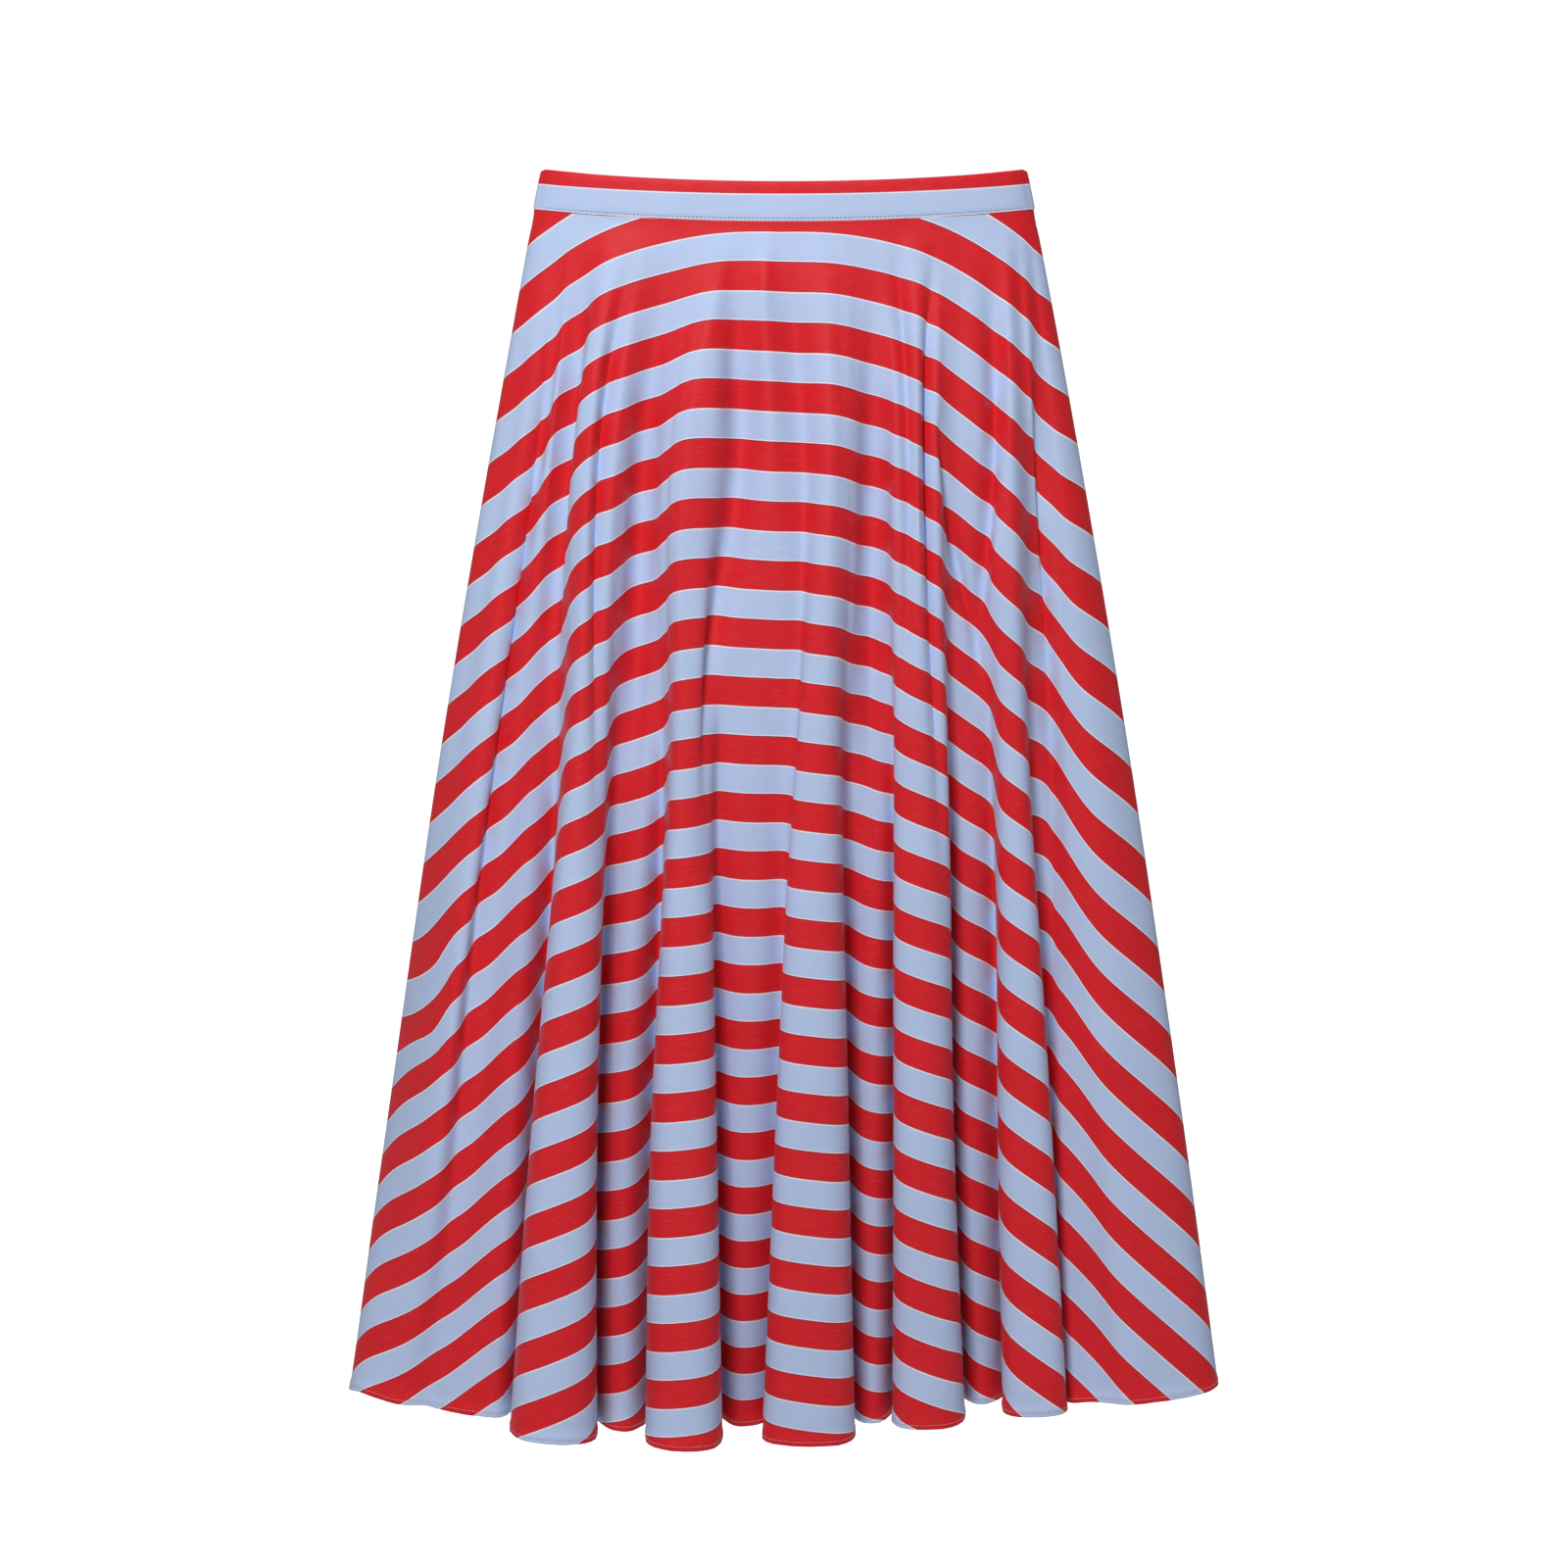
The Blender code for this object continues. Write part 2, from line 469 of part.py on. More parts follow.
# ---- the zip ---------------------------------------------------------------------------
def add_tape(folds, surface, material):
    """The zip's tape, inside the centre back: it is made from the points of what it lies on."""
    reach = np.linspace(-TAPE_HALF_WIDTH, TAPE_HALF_WIDTH, TAPE_COLUMNS)
    oval_shares = np.linspace(0.0, 1.0, 2001)
    oval_x, _, _ = half_oval(oval_shares, WAIST_HALF_WIDTH, WAIST_HALF_DEPTH)
    top = 1.0 - TAPE_BELOW_BAND_TOP / BAND_HEIGHT
    points, normals = band_points(np.interp(reach, oval_x, oval_shares), BACK, (top, 0.5, 0.0))
    points, normals = list(points), list(normals)
    # Below the band the tape follows the facets of the two back panels.
    ends = fold_angles(folds, 1.0)
    places, panel, panel_normals = solid_grid(folds, surface, BACK, ends[0], ends[-1])
    for row, level in enumerate(SOLID_LEVELS):
        if 0.0 < level <= TAPE_BELOW_SEAM:
            radius = SEAM_RADIUS_CENTRE + (HEM_RADIUS - SEAM_RADIUS_CENTRE) * level
            at_places = [place_of_angle(folds, math.degrees(r / radius)) for r in reach]
            for values, result in ((panel, points), (panel_normals, normals)):
                result.append([[np.interp(at, places[row], values[row, :, axis]) for axis in range(3)]
                               for at in at_places])
    points, normals = np.array(points), np.array(normals)
    normals /= np.linalg.norm(normals, axis=-1, keepdims=True)
    inset = BAND_WALL / 2 + SEAM_GAP + TAPE_WALL / 2
    return add_wall("zip_tape", points - normals * inset, normals, TAPE_WALL, material, BACK)


def prism(name, outline, along, low, high, material):
    """A solid with an outline in the plane across one axis: Y and Z for "x", X and Z for "y"."""
    if along == "x":
        vertices = [(end, a, b) for end in (low, high) for a, b in outline]
    else:
        vertices = [(a, end, b) for end in (low, high) for a, b in outline]
    count = len(outline)
    faces = [tuple(range(count)), tuple(range(count, 2 * count))]
    faces += [(i, (i + 1) % count, (i + 1) % count + count, i + count) for i in range(count)]
    thing = add_object(name, vertices, faces, material, smooth=False)
    form = bmesh.new()
    form.from_mesh(thing.data)
    bmesh.ops.recalc_face_normals(form, faces=form.faces)
    form.to_mesh(thing.data)
    form.free()
    return thing


def rectangle(low_a, low_b, high_a, high_b):
    return [(low_a, low_b), (high_a, low_b), (high_a, high_b), (low_a, high_b)]


def combine(thing, other, operation):
    """Joins another solid to a thing, or cuts it out."""
    step = thing.modifiers.new(other.name, "BOOLEAN")
    step.operation = operation
    step.solver = "EXACT"
    step.object = other
    other.hide_render = True
    other.display_type = "WIRE"


def zip_places():
    """At the centre back: the slider's inner and outer face, its middle height."""
    low = 1.0 - (SLIDER_BELOW_BAND_TOP + SLIDER_SIZE[2] / 2) / BAND_HEIGHT
    band_depth = WAIST_HALF_DEPTH + (BAND_TOP_HALF_DEPTH - WAIST_HALF_DEPTH) * low
    inner = band_depth + BAND_WALL / 2 + SEAM_GAP
    middle = float(seam_height(0.0, BACK)) + BAND_HEIGHT - SLIDER_BELOW_BAND_TOP
    return inner, inner + SLIDER_SIZE[1], middle


def add_slider(material):
    """The slider: a block with the bridge that carries the pull."""
    inner, face, middle = zip_places()
    half_width, half_height = SLIDER_SIZE[0] / 2, SLIDER_SIZE[2] / 2
    body = prism("zip_slider", rectangle(inner, middle - half_height, face, middle + half_height),
                 "x", -half_width, half_width, material)
    root = face - BRIDGE_WIRE / 2
    out = face + BRIDGE_REACH
    span = BRIDGE_HALF_SPAN
    wire = BRIDGE_WIRE
    outline = [(root, -span - wire), (out + wire, -span - wire), (out + wire, span + wire),
               (root, span + wire), (root, span), (out, span), (out, -span), (root, -span)]
    bridge = prism("bridge_form", [(y, middle + z) for y, z in outline], "x",
                   -BRIDGE_WIDTH / 2, BRIDGE_WIDTH / 2, material)
    combine(body, bridge, "UNION")


def add_pull(material):
    """The pull tab: a drop-shaped plate whose eye hangs in the slider's bridge."""
    _, face, middle = zip_places()
    y = face + PULL_AXIS_REACH
    rim = PULL_WALL / 2
    head, tip = PULL_HEAD_WIDTH / 2, PULL_TIP_WIDTH / 2
    round_end = [(tip * math.sin(turn), tip - PULL_LENGTH - tip * math.cos(turn))
                 for turn in np.linspace(-math.pi / 2, math.pi / 2, 9)]
    outline = [(-head, rim), *round_end, (head, rim)]
    plate = prism("zip_pull", [(x, middle + z) for x, z in outline], "y",
                  y - PULL_WALL / 2, y + PULL_WALL / 2, material)
    eye_top = middle - rim
    eye = prism("eye_form", rectangle(-PULL_EYE_WIDTH / 2, eye_top - PULL_EYE_LENGTH,
                                      PULL_EYE_WIDTH / 2, eye_top), "y",
                y - PULL_WALL, y + PULL_WALL, material)
    combine(plate, eye, "DIFFERENCE")


# ---- the skirt -------------------------------------------------------------------------
def main():
    for thing in list(bpy.data.objects):
        bpy.data.objects.remove(thing, do_unlink=True)
    red = make_material("red stripe cotton", (0.60, 0.02, 0.03), 0.55)
    blue = make_material("light blue stripe cotton", (0.47, 0.57, 0.80), 0.55)
    tape = make_material("zip tape", (0.45, 0.52, 0.70), 0.8)
    metal = make_material("zip metal", (0.62, 0.66, 0.75), 0.35, 0.9)

    front = panel_surface(FRONT_FOLDS, FRONT)
    back = panel_surface(BACK_FOLDS, BACK)
    front_angles = fold_angles(FRONT_FOLDS, 1.0)
    back_angles = fold_angles(BACK_FOLDS, 1.0)
    add_panel("skirt_front", FRONT_FOLDS, front, FRONT, front_angles[0], front_angles[-1], red)
    add_panel("skirt_back_left", BACK_FOLDS, back, BACK, back_angles[0], 0.0, red)
    add_panel("skirt_back_right", BACK_FOLDS, back, BACK, 0.0, back_angles[-1], red)
    add_band("waistband_front", 0.0, 1.0, FRONT, blue)
    add_band("waistband_back_left", 0.0, 0.5, BACK, blue)
    add_band("waistband_back_right", 0.5, 1.0, BACK, blue)
    add_tape(BACK_FOLDS, back, tape)
    add_slider(metal)
    add_pull(metal)


main()
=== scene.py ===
"""The looks of the striped a-line maxi skirt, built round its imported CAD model.

Every piece of cloth is a thin shell on the form of its CAD solid: the same cut and the same
folds as the solid's, in finer steps, with the small creases, the hem, the seams and the
stitches that the solid leaves out. Frame: metres, +Z up, the front faces -Y, the origin is
the middle of the waistband's ring.
"""
from collections import namedtuple
import math

import bpy
import numpy as np
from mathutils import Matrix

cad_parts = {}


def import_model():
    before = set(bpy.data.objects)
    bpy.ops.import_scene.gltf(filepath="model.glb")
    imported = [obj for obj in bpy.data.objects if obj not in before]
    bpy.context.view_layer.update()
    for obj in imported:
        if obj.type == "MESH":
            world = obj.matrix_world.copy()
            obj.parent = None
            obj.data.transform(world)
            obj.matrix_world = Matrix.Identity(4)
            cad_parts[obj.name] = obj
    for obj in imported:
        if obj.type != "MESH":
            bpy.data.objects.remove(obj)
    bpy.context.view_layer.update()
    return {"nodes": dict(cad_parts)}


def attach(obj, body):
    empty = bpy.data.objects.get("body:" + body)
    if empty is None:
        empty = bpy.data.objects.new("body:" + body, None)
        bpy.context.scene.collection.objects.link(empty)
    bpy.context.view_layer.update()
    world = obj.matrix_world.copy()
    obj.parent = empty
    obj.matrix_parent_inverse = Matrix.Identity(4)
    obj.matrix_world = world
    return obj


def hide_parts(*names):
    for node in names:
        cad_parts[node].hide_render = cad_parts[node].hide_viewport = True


MM = 0.001

# ---- the cut, as in the CAD model ----
SEAM_RADIUS_CENTRE = 227.5 * MM  # waist seam at the centre front, from the centre of the cut
SEAM_RADIUS_SIDE = 240.0 * MM  # waist seam at the side seams
SEAM_SIDE_ANGLE = 45.0  # degrees, where the side radius is reached
SEAM_EASE = 1.2  # how late the waist seam leaves its centre radius
HEM_RADIUS = 1117.0 * MM
PANEL_LENGTH = HEM_RADIUS - SEAM_RADIUS_CENTRE
STRIPE_PITCH = 21.0 * MM
FIRST_BOUNDARY = 234.8 * MM  # the first edge from red down to blue, from the centre of the cut

# ---- the waist, as in the CAD model ----
WAIST_HALF_WIDTH = 176.5 * MM
WAIST_HALF_DEPTH = 31.0 * MM
WAIST_SIDE_RISE = 7.0 * MM
WAIST_BACK_DIP = 4.0 * MM
BAND_HEIGHT = 28.0 * MM
BAND_TOP_HALF_WIDTH = 170.5 * MM
BAND_TOP_HALF_DEPTH = 29.5 * MM
BAND_RED_STRIP = 8.6 * MM  # the red strip along the band's top edge
BAND_BLUE_STRIP_TO_PAINTED_EDGE = 18.9 * MM  # the blue below it, which ends in the fold at the waist seam: its white line and the dark edge under it lie on the band's lower edge, partly the pattern's own lines and partly a painted highlight along the fold and painted shade in the seam
SEAM_GAP = 0.3 * MM

# ---- the folds, as in the CAD model ----
LEVELS = (0.0, 0.13, 0.44, 0.75, 1.0)
POCKET_DEPTH = (0.0, 0.0, 12.0, 26.0, 36.0)  # mm
POCKET_FULL_AT = 20.0  # mm, depth from which a pocket is fully formed
POCKET_SPLIT = 0.4  # share of a pocket's curve that runs down
POCKET_BOTTOM_AT = 0.5  # where the bottom lies on the way from valley to crest
POCKET_HANDLES = (0.32, 0.12, 0.20)  # at the valley and to both sides of the bottom
POCKET_SPARE_FROM = 0.2  # where along its curve spare cloth starts to be taken up
POCKET_SPARE_OVER = 0.6  # and the share of the curve that takes it up
STEEPEST_SPREAD = 2.6  # limit on the end rates of a path's cubic, in its lengths
LEAST_DROP = 0.5  # the cloth falls at least this share of its length down the cut
WAIST_REACH = 0.36
HEADING_SETTLES_AT = 0.10  # level from which the folds' own headings hold
FOLDS_START_AT = 0.02  # level down to which the cloth leaves the waist's oval
PATH_STEPS = 100  # points on each fold's curve
FINE_LEVELS = 120  # steps down a panel's fine grid
OVAL_STEPS = 2001  # points that the waist's oval is measured on

# One row for each crest or valley, from the wearer's right to left: the angle on the cut at
# the five levels, X and the distance out of the side seams' plane at hip, middle, low and
# hem in mm, the way the cloth runs there, how far it keeps it, and its hidden pocket's share.
Fold = namedtuple("Fold", "angle across forward heading reach pocket")

# How far the cloth keeps its way at those four levels, where folds share it.
VALLEY = (0.40, 0.50, 0.60, 0.60)
SOFT_VALLEY = (0.40, 0.45, 0.60, 0.60)
CREST = (0.40, 0.60, 1.00, 1.20)
EDGE = (0.45, 0.45, 0.45, 0.45)

FRONT_FOLDS = (
    Fold((-43.8, -45.4, -45.5, -45, -44.9), (-197, -246, -289, -313), (-2, -8, -20, -50), 95, EDGE, 0),
    Fold((-43.4, -45.1, -45.2, -44.8, -42), (-198, -247, -290, -323), (2, -2, -14, 0), 90,
         (0.30, 0.12, 0.12, 0.35), 0),
    Fold((-38.8, -39.3, -39.9, -40.1, -38.4), (-170, -208, -246, -268), (26, 38, 46, 32), 0,
         (0.30, 0.30, 0.30, 0.45), 0),
    Fold((-35.2, -35.4, -35.5, -35.8, -34.8), (-158, -180, -200, -214), (30, 32, 34, 40), 0,
         (0.40, 0.45, 0.50, 0.60), 1.1),
    Fold(-26.2, (-128, -142, -160, -172), (48, 70, 86, 97), 0, (0.40, 0.60, 1.05, 1.25), 0.9),
    Fold((-17.5, -17.5, -17.8, -18.1, -18), (-89, -102, -116, -118), (38, 42, 44, 44), 0, VALLEY, 1.1),
    Fold(-7.5, (-61, -69, -72, -71), (50, 70, 84, 92), 0, CREST, 0.6),
    Fold(0, (-21, -26, -29, -31), (44, 50, 42, 22), 0, VALLEY, 0.5),
    Fold(7.5, (31, 26, 23, 20), (50, 66, 72, 68), 0, (0.40, 0.60, 1.05, 1.35), 0.8),
    Fold((15.6, 15.6, 15.5, 15.4, 15.1), (61, 63, 65, 66), (40, 38, 32, 20), 0, VALLEY, 0.9),
    Fold((22.8, 22.8, 22.7, 22.3, 22.8), (93, 99, 103, 107), (46, 54, 54, 46), 0,
         (0.60, 1.00, 1.15, 1.25), 0.8),
    Fold((31.4, 31.4, 31.5, 31.4, 31.2), (124, 132, 136, 148), (32, 24, 14, 0), 0,
         (0.50, 0.60, 0.60, 0.60), 0.6),
    Fold((38.3, 38.3, 38.1, 38, 38.3), (157, 165, 181, 191), (32, 40, 42, 42), 0,
         (0.40, 0.60, 1.00, 1.30), 0.4),
    Fold((41, 41.5, 42, 42.6, 43.1), (173, 191, 205, 217), (22, 20, 16, 14), 0, SOFT_VALLEY, 0),
    Fold((43.3, 45, 46, 45.8, 45.8), (187, 217, 240, 262), (12, 22, 26, 28), 0, EDGE, 0),
    Fold((45.1, 46.9, 49.2, 50, 50), (199, 248, 291, 323), (0, 0, 0, 0), -90,
         (0.25, 0.20, 0.30, 0.40), 0),
)

BACK_FOLDS = (
    Fold((-44.5, -45.5, -47, -47.3, -47.3), (-197, -246, -289, -313), (2, 8, 20, 50), 85, EDGE, 0),
    Fold(-42, (-178, -210, -240, -258), (26, 46, 68, 96), 0, (0.45, 0.45, 0.50, 0.60), 0.5),
    Fold(-37, (-158, -184, -206, -222), (30, 42, 54, 66), 0, SOFT_VALLEY, 0.9),
    Fold(-30.2, (-132, -150, -168, -182), (46, 76, 106, 132), 0, CREST, 0.9),
    Fold(-22, (-100, -116, -127, -135), (38, 46, 58, 72), 0, VALLEY, 0.8),
    Fold(-13.6, (-68, -80, -88, -93), (52, 82, 112, 136), 0, CREST, 0.9),
    Fold(-5.6, (-30, -37, -43, -47), (45, 54, 62, 72), 0, VALLEY, 0),
    Fold(2.6, (8, 5, 3, 2), (51, 78, 104, 126), 0, CREST, 0.8),
    Fold(10.6, (44, 46, 49, 52), (44, 50, 58, 66), 0, VALLEY, 0.9),
    Fold(18.8, (78, 86, 92, 97), (52, 80, 108, 134), 0, CREST, 0.7),
    Fold(27, (110, 124, 134, 143), (38, 44, 54, 68), 0, VALLEY, 0.7),
    Fold(34.6, (144, 162, 178, 192), (40, 68, 94, 118), 0, (0.40, 0.60, 1.00, 1.10), 0.8),
    Fold((39.5, 40, 40.4, 40.4, 40.4), (166, 190, 214, 234), (28, 38, 48, 56), 0, SOFT_VALLEY, 0.5),
    Fold((42.4, 43.2, 44, 44.2, 44.2), (182, 220, 252, 280), (18, 32, 46, 60), 0,
         (0.45, 0.45, 0.45, 0.50), 0),
    Fold((44.5, 45.5, 47, 47.3, 47.3), (199, 248, 291, 323), (0, 0, 0, 0), -90, EDGE, 0),
)

FRONT = -1.0  # the sign of Y outward on each side
BACK = 1.0

# Soft creases between and beside the folds: the angle on the cut at LEVELS, the half width
# and the depth in mm (negative for a ridge), and the levels where the crease
# begins, is deepest and has run out.
Crease = namedtuple("Crease", "angle width depth begins full ends")

FRONT_CREASES = (
    Crease((-42.6, -43.4, -43.6, -43, -42), 10, 4, 0.02, 0.15, 0.60),
    Crease((-34.4, -38.4, -39.3, -39.1, -38.2), 12, 15, 0.00, 0.30, 1.30),
    Crease((-31, -33, -34.4, -35, -35.2), 11, 12, 0.00, 0.18, 0.50),
    Crease((-24.7, -25, -25, -25.2, -25.4), 8.5, 11.5, 0.01, 0.16, 0.60),
    Crease((-20.2, -19, -18.6, -18.2, -18), 14, 12.5, 0.01, 0.22, 0.62),
    Crease((-7.2, -1.6, -5.6, -7, -7), 11, 14, 0.00, 0.16, 0.60),
    Crease((-2.2, 1.5, 0.8, 0.5, 0.5), 7, -4, 0.00, 0.06, 0.30),
    Crease((2.2, 4.2, 4.2, 2.4, 1.6), 10, 13, 0.01, 0.18, 0.62),
    Crease((16.4, 16.2, 15.2, 14.4, 14), 14, 12.5, 0.01, 0.24, 0.66),
    Crease((19.6, 20.9, 20.8, 21, 21), 6.5, 8, 0.00, 0.10, 0.46),
    Crease((26.4, 25, 24, 23.5, 23.5), 7, 12, 0.00, 0.16, 0.66),
    Crease((35.6, 36.6, 31.4, 31.4, 31.4), 9, 12, 0.01, 0.16, 0.44),
    Crease((22, 26, 34.8, 36, 36), 6, 7, 0.13, 0.27, 0.42),
    Crease((44.6, 43.3, 42, 41.9, 41.7), 12, 12, 0.06, 0.30, 0.90),
)

BACK_CREASES = (
    Crease((-41, -39.8, -39.2, -39, -39), 9, 8, 0.01, 0.20, 0.70),
    Crease((-33, -33.8, -35, -35.5, -35.5), 8, 9, 0.00, 0.14, 0.50),
    Crease((-26, -26.8, -26.2, -26, -26), 8, 8, 0.02, 0.16, 0.46),
    Crease((-17.4, -17, -18.6, -19, -19), 7.5, 9.5, 0.00, 0.12, 0.50),
    Crease((-9.4, -10.4, -9.6, -9, -9), 8, 7, 0.02, 0.14, 0.44),
    Crease((7, 6.4, 7.2, 7.5, 7.5), 8, 8, 0.02, 0.14, 0.46),
    Crease((14, 15.2, 14.6, 14, 14), 7.5, 9, 0.00, 0.12, 0.50),
    Crease((23.8, 22.6, 23.2, 23.5, 23.5), 8, 9, 0.01, 0.16, 0.48),
    Crease((30, 31.2, 30.6, 30, 30), 7, 8, 0.02, 0.14, 0.44),
    Crease((38.6, 37.4, 37.2, 37.5, 37.5), 9, 9.5, 0.00, 0.18, 0.60),
    Crease((43.6, 42.4, 41.8, 41.8, 41.8), 8, 6.5, 0.05, 0.25, 0.70),
)

# ---- the cloth ----
CLOTH_HALF = 0.22 * MM  # half the thickness of one layer
HEM_HALF = 0.55 * MM  # half the thickness of the turned hem
HEM_HEIGHT = 6.0 * MM
HEM_STITCH_HEIGHT = 3.6 * MM
HEM_STITCH_POINTS = 3000  # on the line that they follow
HEM_STEP = 0.8 * MM  # spacing of the rows round the hem's upper edge
HEM_EDGE_ROWS = (1.0 * MM, 0.3 * MM, 0.0)  # heights of the rows that round the hem's edge
SEAM_ROWS = (0.0, 0.6 * MM, 2.0 * MM, 4.0 * MM)  # depths of the rows that round the waist seam
SEAM_ROLL = 0.5 * MM  # how far a panel's side edge turns into the seam
LEVELS_SHOWN = 118  # rows of the shells between waist seam and hem
POCKET_COLUMNS = (11, 17)  # columns down into a pocket and out of it
POCKET_COLUMNS_EASE = 1.15  # power that draws them towards the bottom
PLAIN_COLUMNS = 16
NEAREST_COLUMN = 0.02  # no column is nearer to a panel's side edge, in rows of the folds
CREASE_KEEPS_OFF = 26.0 * MM  # creases fade out this near a panel's side edge
HEM_PUCKER = 0.45 * MM  # the hem's small waves, and how high up they reach
HEM_PUCKER_REACH = 16.0 * MM
HEM_PUCKER_LENGTHS = (17.0 * MM, 29.0 * MM)
UNEVEN_DEPTH = 0.5 * MM  # a slight unevenness in the whole cloth
# Each wave's length in degrees, how far it drifts down the skirt, and its start, both in radians.
UNEVEN_WAVES = ((3.1, 6.0, 0.4), (4.7, -9.0, 2.1), (7.3, 4.0, 4.4))

# The waistband's closed cross-section: height above the waist seam and distance out from the
# middle of the band, in mm, from the lower edge round the top and back down inside. The
# stitches lie in the dimple near the lower edge.
BAND_SECTION = (
    (0.3, 0.45), (0.6, 0.88), (1.1, 1.08), (1.6, 1.02), (2.1, 0.78), (2.7, 1.00), (5.0, 1.14), (9.0, 1.18),
    (14.0, 1.20), (19.0, 1.16), (23.5, 1.08), (26.2, 0.98), (27.3, 0.72), (27.85, 0.36),
    (28.0, 0.0), (27.85, -0.36), (27.3, -0.72), (26.2, -0.95), (20.0, -1.02), (12.0, -1.02),
    (4.0, -1.00), (2.1, -0.86), (0.7, -0.86), (0.3, -0.45),
)
BAND_COLUMNS_SHOWN = 220
BAND_COLUMNS_EASE = 0.3  # share of their spacing that tightens towards the oval's ends
BAND_NEAREST = 0.002  # no column or stitch is nearer to an end, as a share of the oval
BAND_STITCH_HEIGHT = 2.1  # mm, where the section has its dimple
BAND_STITCH_OUT = 0.98  # mm
BAND_STITCH_POINTS = 900  # on the line that they follow
BAND_RED_WIDENS = 2.0 * MM  # how much wider the red strip is at the band's ends
BAND_WAVE = 0.35 * MM  # how far the band's top strays from the oval
BAND_WAVES = ((61.0 * MM, 0.3), (37.0 * MM, 1.9), (19.0 * MM, 4.2))  # length and start of each
BAND_CORNER = 2.2 * MM  # how far in from the side seams the top edge is rounded
BAND_CORNER_DROP = 0.4  # share of that by which the corner drops
BAND_CORNER_FROM = 0.8  # share of the band's height below which nothing drops

BAND_STITCH_RADIUS = 0.24 * MM
HEM_STITCH_RADIUS = 0.22 * MM
BAND_STITCH = (2.3 * MM, 2.8 * MM)  # length and pitch
HEM_STITCH = (2.0 * MM, 2.6 * MM)
STITCH_SHOULDERS = (0.2, 0.8)  # where along a stitch it has its full thickness
THREAD_SIDES = 6  # of a stitch and of the zip's coil

# ---- the zip ----
TAPE_HALF_WIDTH = 12.0 * MM
TAPE_BELOW_SEAM = 0.22  # share of the skirt's length that the zip opens
TAPE_BELOW_BAND_TOP = 2.0 * MM
TAPE_GAP_AT_SEAM = (2.0 * MM, 0.004)  # height and level where its rows stop short of the waist seam
TAPE_HALF = 0.28 * MM  # half a tape's thickness
TAPE_COLUMNS = 7
TAPE_ROWS = (10, 46)  # behind the band and below it
TAPE_INSET = 1.55 * MM  # in from the middle of what it lies on
TOOTH_INSET = 2.25 * MM
TOOTH_LENGTH = 3.4 * MM
TOOTH_PITCH = 1.25 * MM
TOOTH_RADIUS = 0.42 * MM
TOOTH_RINGS = ((-0.5, 0.5), (-0.36, 1.0), (0.36, 1.0), (0.5, 0.5))  # place along it, and swell
TOOTH_GUIDE = (-1.0 * MM, 0.0, 1.0 * MM)  # distances from the seam that its normals are read at


# ---- small helpers ----
def smoothstep(share):
    share = np.clip(share, 0.0, 1.0)
    return share * share * (3.0 - 2.0 * share)


def running_total(steps):
    return np.concatenate([[0.0], np.cumsum(steps)])


def along_line(points):
    """The distance along a line to each of its points."""
    return running_total(np.linalg.norm(np.diff(points, axis=0), axis=1))


def at_distance(places, along, values):
    """Points or normals of a line, read at distances along it."""
    return np.stack([np.interp(places, along, values[:, axis]) for axis in range(3)], axis=-1)


def thread_ring(centre, radius, across, up):
    """The corners of a thread's cross-section."""
    turns = np.arange(THREAD_SIDES) * 2 * math.pi / THREAD_SIDES
    return [centre + radius * (math.cos(t) * across + math.sin(t) * up) for t in turns]


def through_levels(values, level):
    """A smooth curve through the values at LEVELS, read at one level."""
    values = np.asarray(values, float)
    steps = np.diff(LEVELS)
    slopes = np.diff(values) / steps
    inner = (slopes[:-1] * steps[1:] + slopes[1:] * steps[:-1]) / (steps[:-1] + steps[1:])
    tangents = np.concatenate([slopes[:1], inner, slopes[-1:]])
    i = int(np.clip(np.searchsorted(LEVELS, level) - 1, 0, len(steps) - 1))
    u = (level - LEVELS[i]) / steps[i]
    rise = u * u * (3.0 - 2.0 * u)
    return (values[i] * (1.0 - rise) + values[i + 1] * rise
            + steps[i] * (tangents[i] * u * (1.0 - u) ** 2 - tangents[i + 1] * u * u * (1.0 - u)))


def curve(start, start_handle, end_handle, end, u):
    """A cubic Bezier curve."""
    return (start * (1 - u) ** 3 + 3 * start_handle * u * (1 - u) ** 2
            + 3 * end_handle * u * u * (1 - u) + end * u ** 3)


def half_oval(share, half_width=WAIST_HALF_WIDTH, half_depth=WAIST_HALF_DEPTH):
    """A point of half an oval, by share of its length from -X to +X: X, outward and heading."""
    turn = np.linspace(-math.pi / 2, math.pi / 2, OVAL_STEPS)
    x = half_width * np.sin(turn)
    out = half_depth * np.cos(turn)
    length = running_total(np.hypot(np.diff(x), np.diff(out)))
    at = np.interp(share, length / length[-1], turn)
    heading = np.arctan2(-half_depth * np.sin(at), half_width * np.cos(at))
    return half_width * np.sin(at), half_depth * np.cos(at), heading


def seam_radius(angle):
    share = np.minimum(1.0, np.abs(angle) / SEAM_SIDE_ANGLE)
    return SEAM_RADIUS_CENTRE + (SEAM_RADIUS_SIDE - SEAM_RADIUS_CENTRE) * share ** SEAM_EASE


def cut_radius(angle, level):
    """The distance from the centre of the cut at an angle and a level."""
    return seam_radius(angle) + (HEM_RADIUS - seam_radius(angle)) * level


def seam_height(x, side):
    """The height of the waist seam, which rises to the sides and dips at the back."""
    share = (x / WAIST_HALF_WIDTH) ** 2
    dip = WAIST_BACK_DIP if side == BACK else 0.0
    return WAIST_SIDE_RISE * share - dip * (1.0 - share) - BAND_HEIGHT / 2


# ---- the form of a panel ----
# The points of a ring are complex numbers: X, and the distance outward as the imaginary part.
def fold_angles(folds, level):
    return np.array([through_levels(np.broadcast_to(f.angle, 5), level) for f in folds])


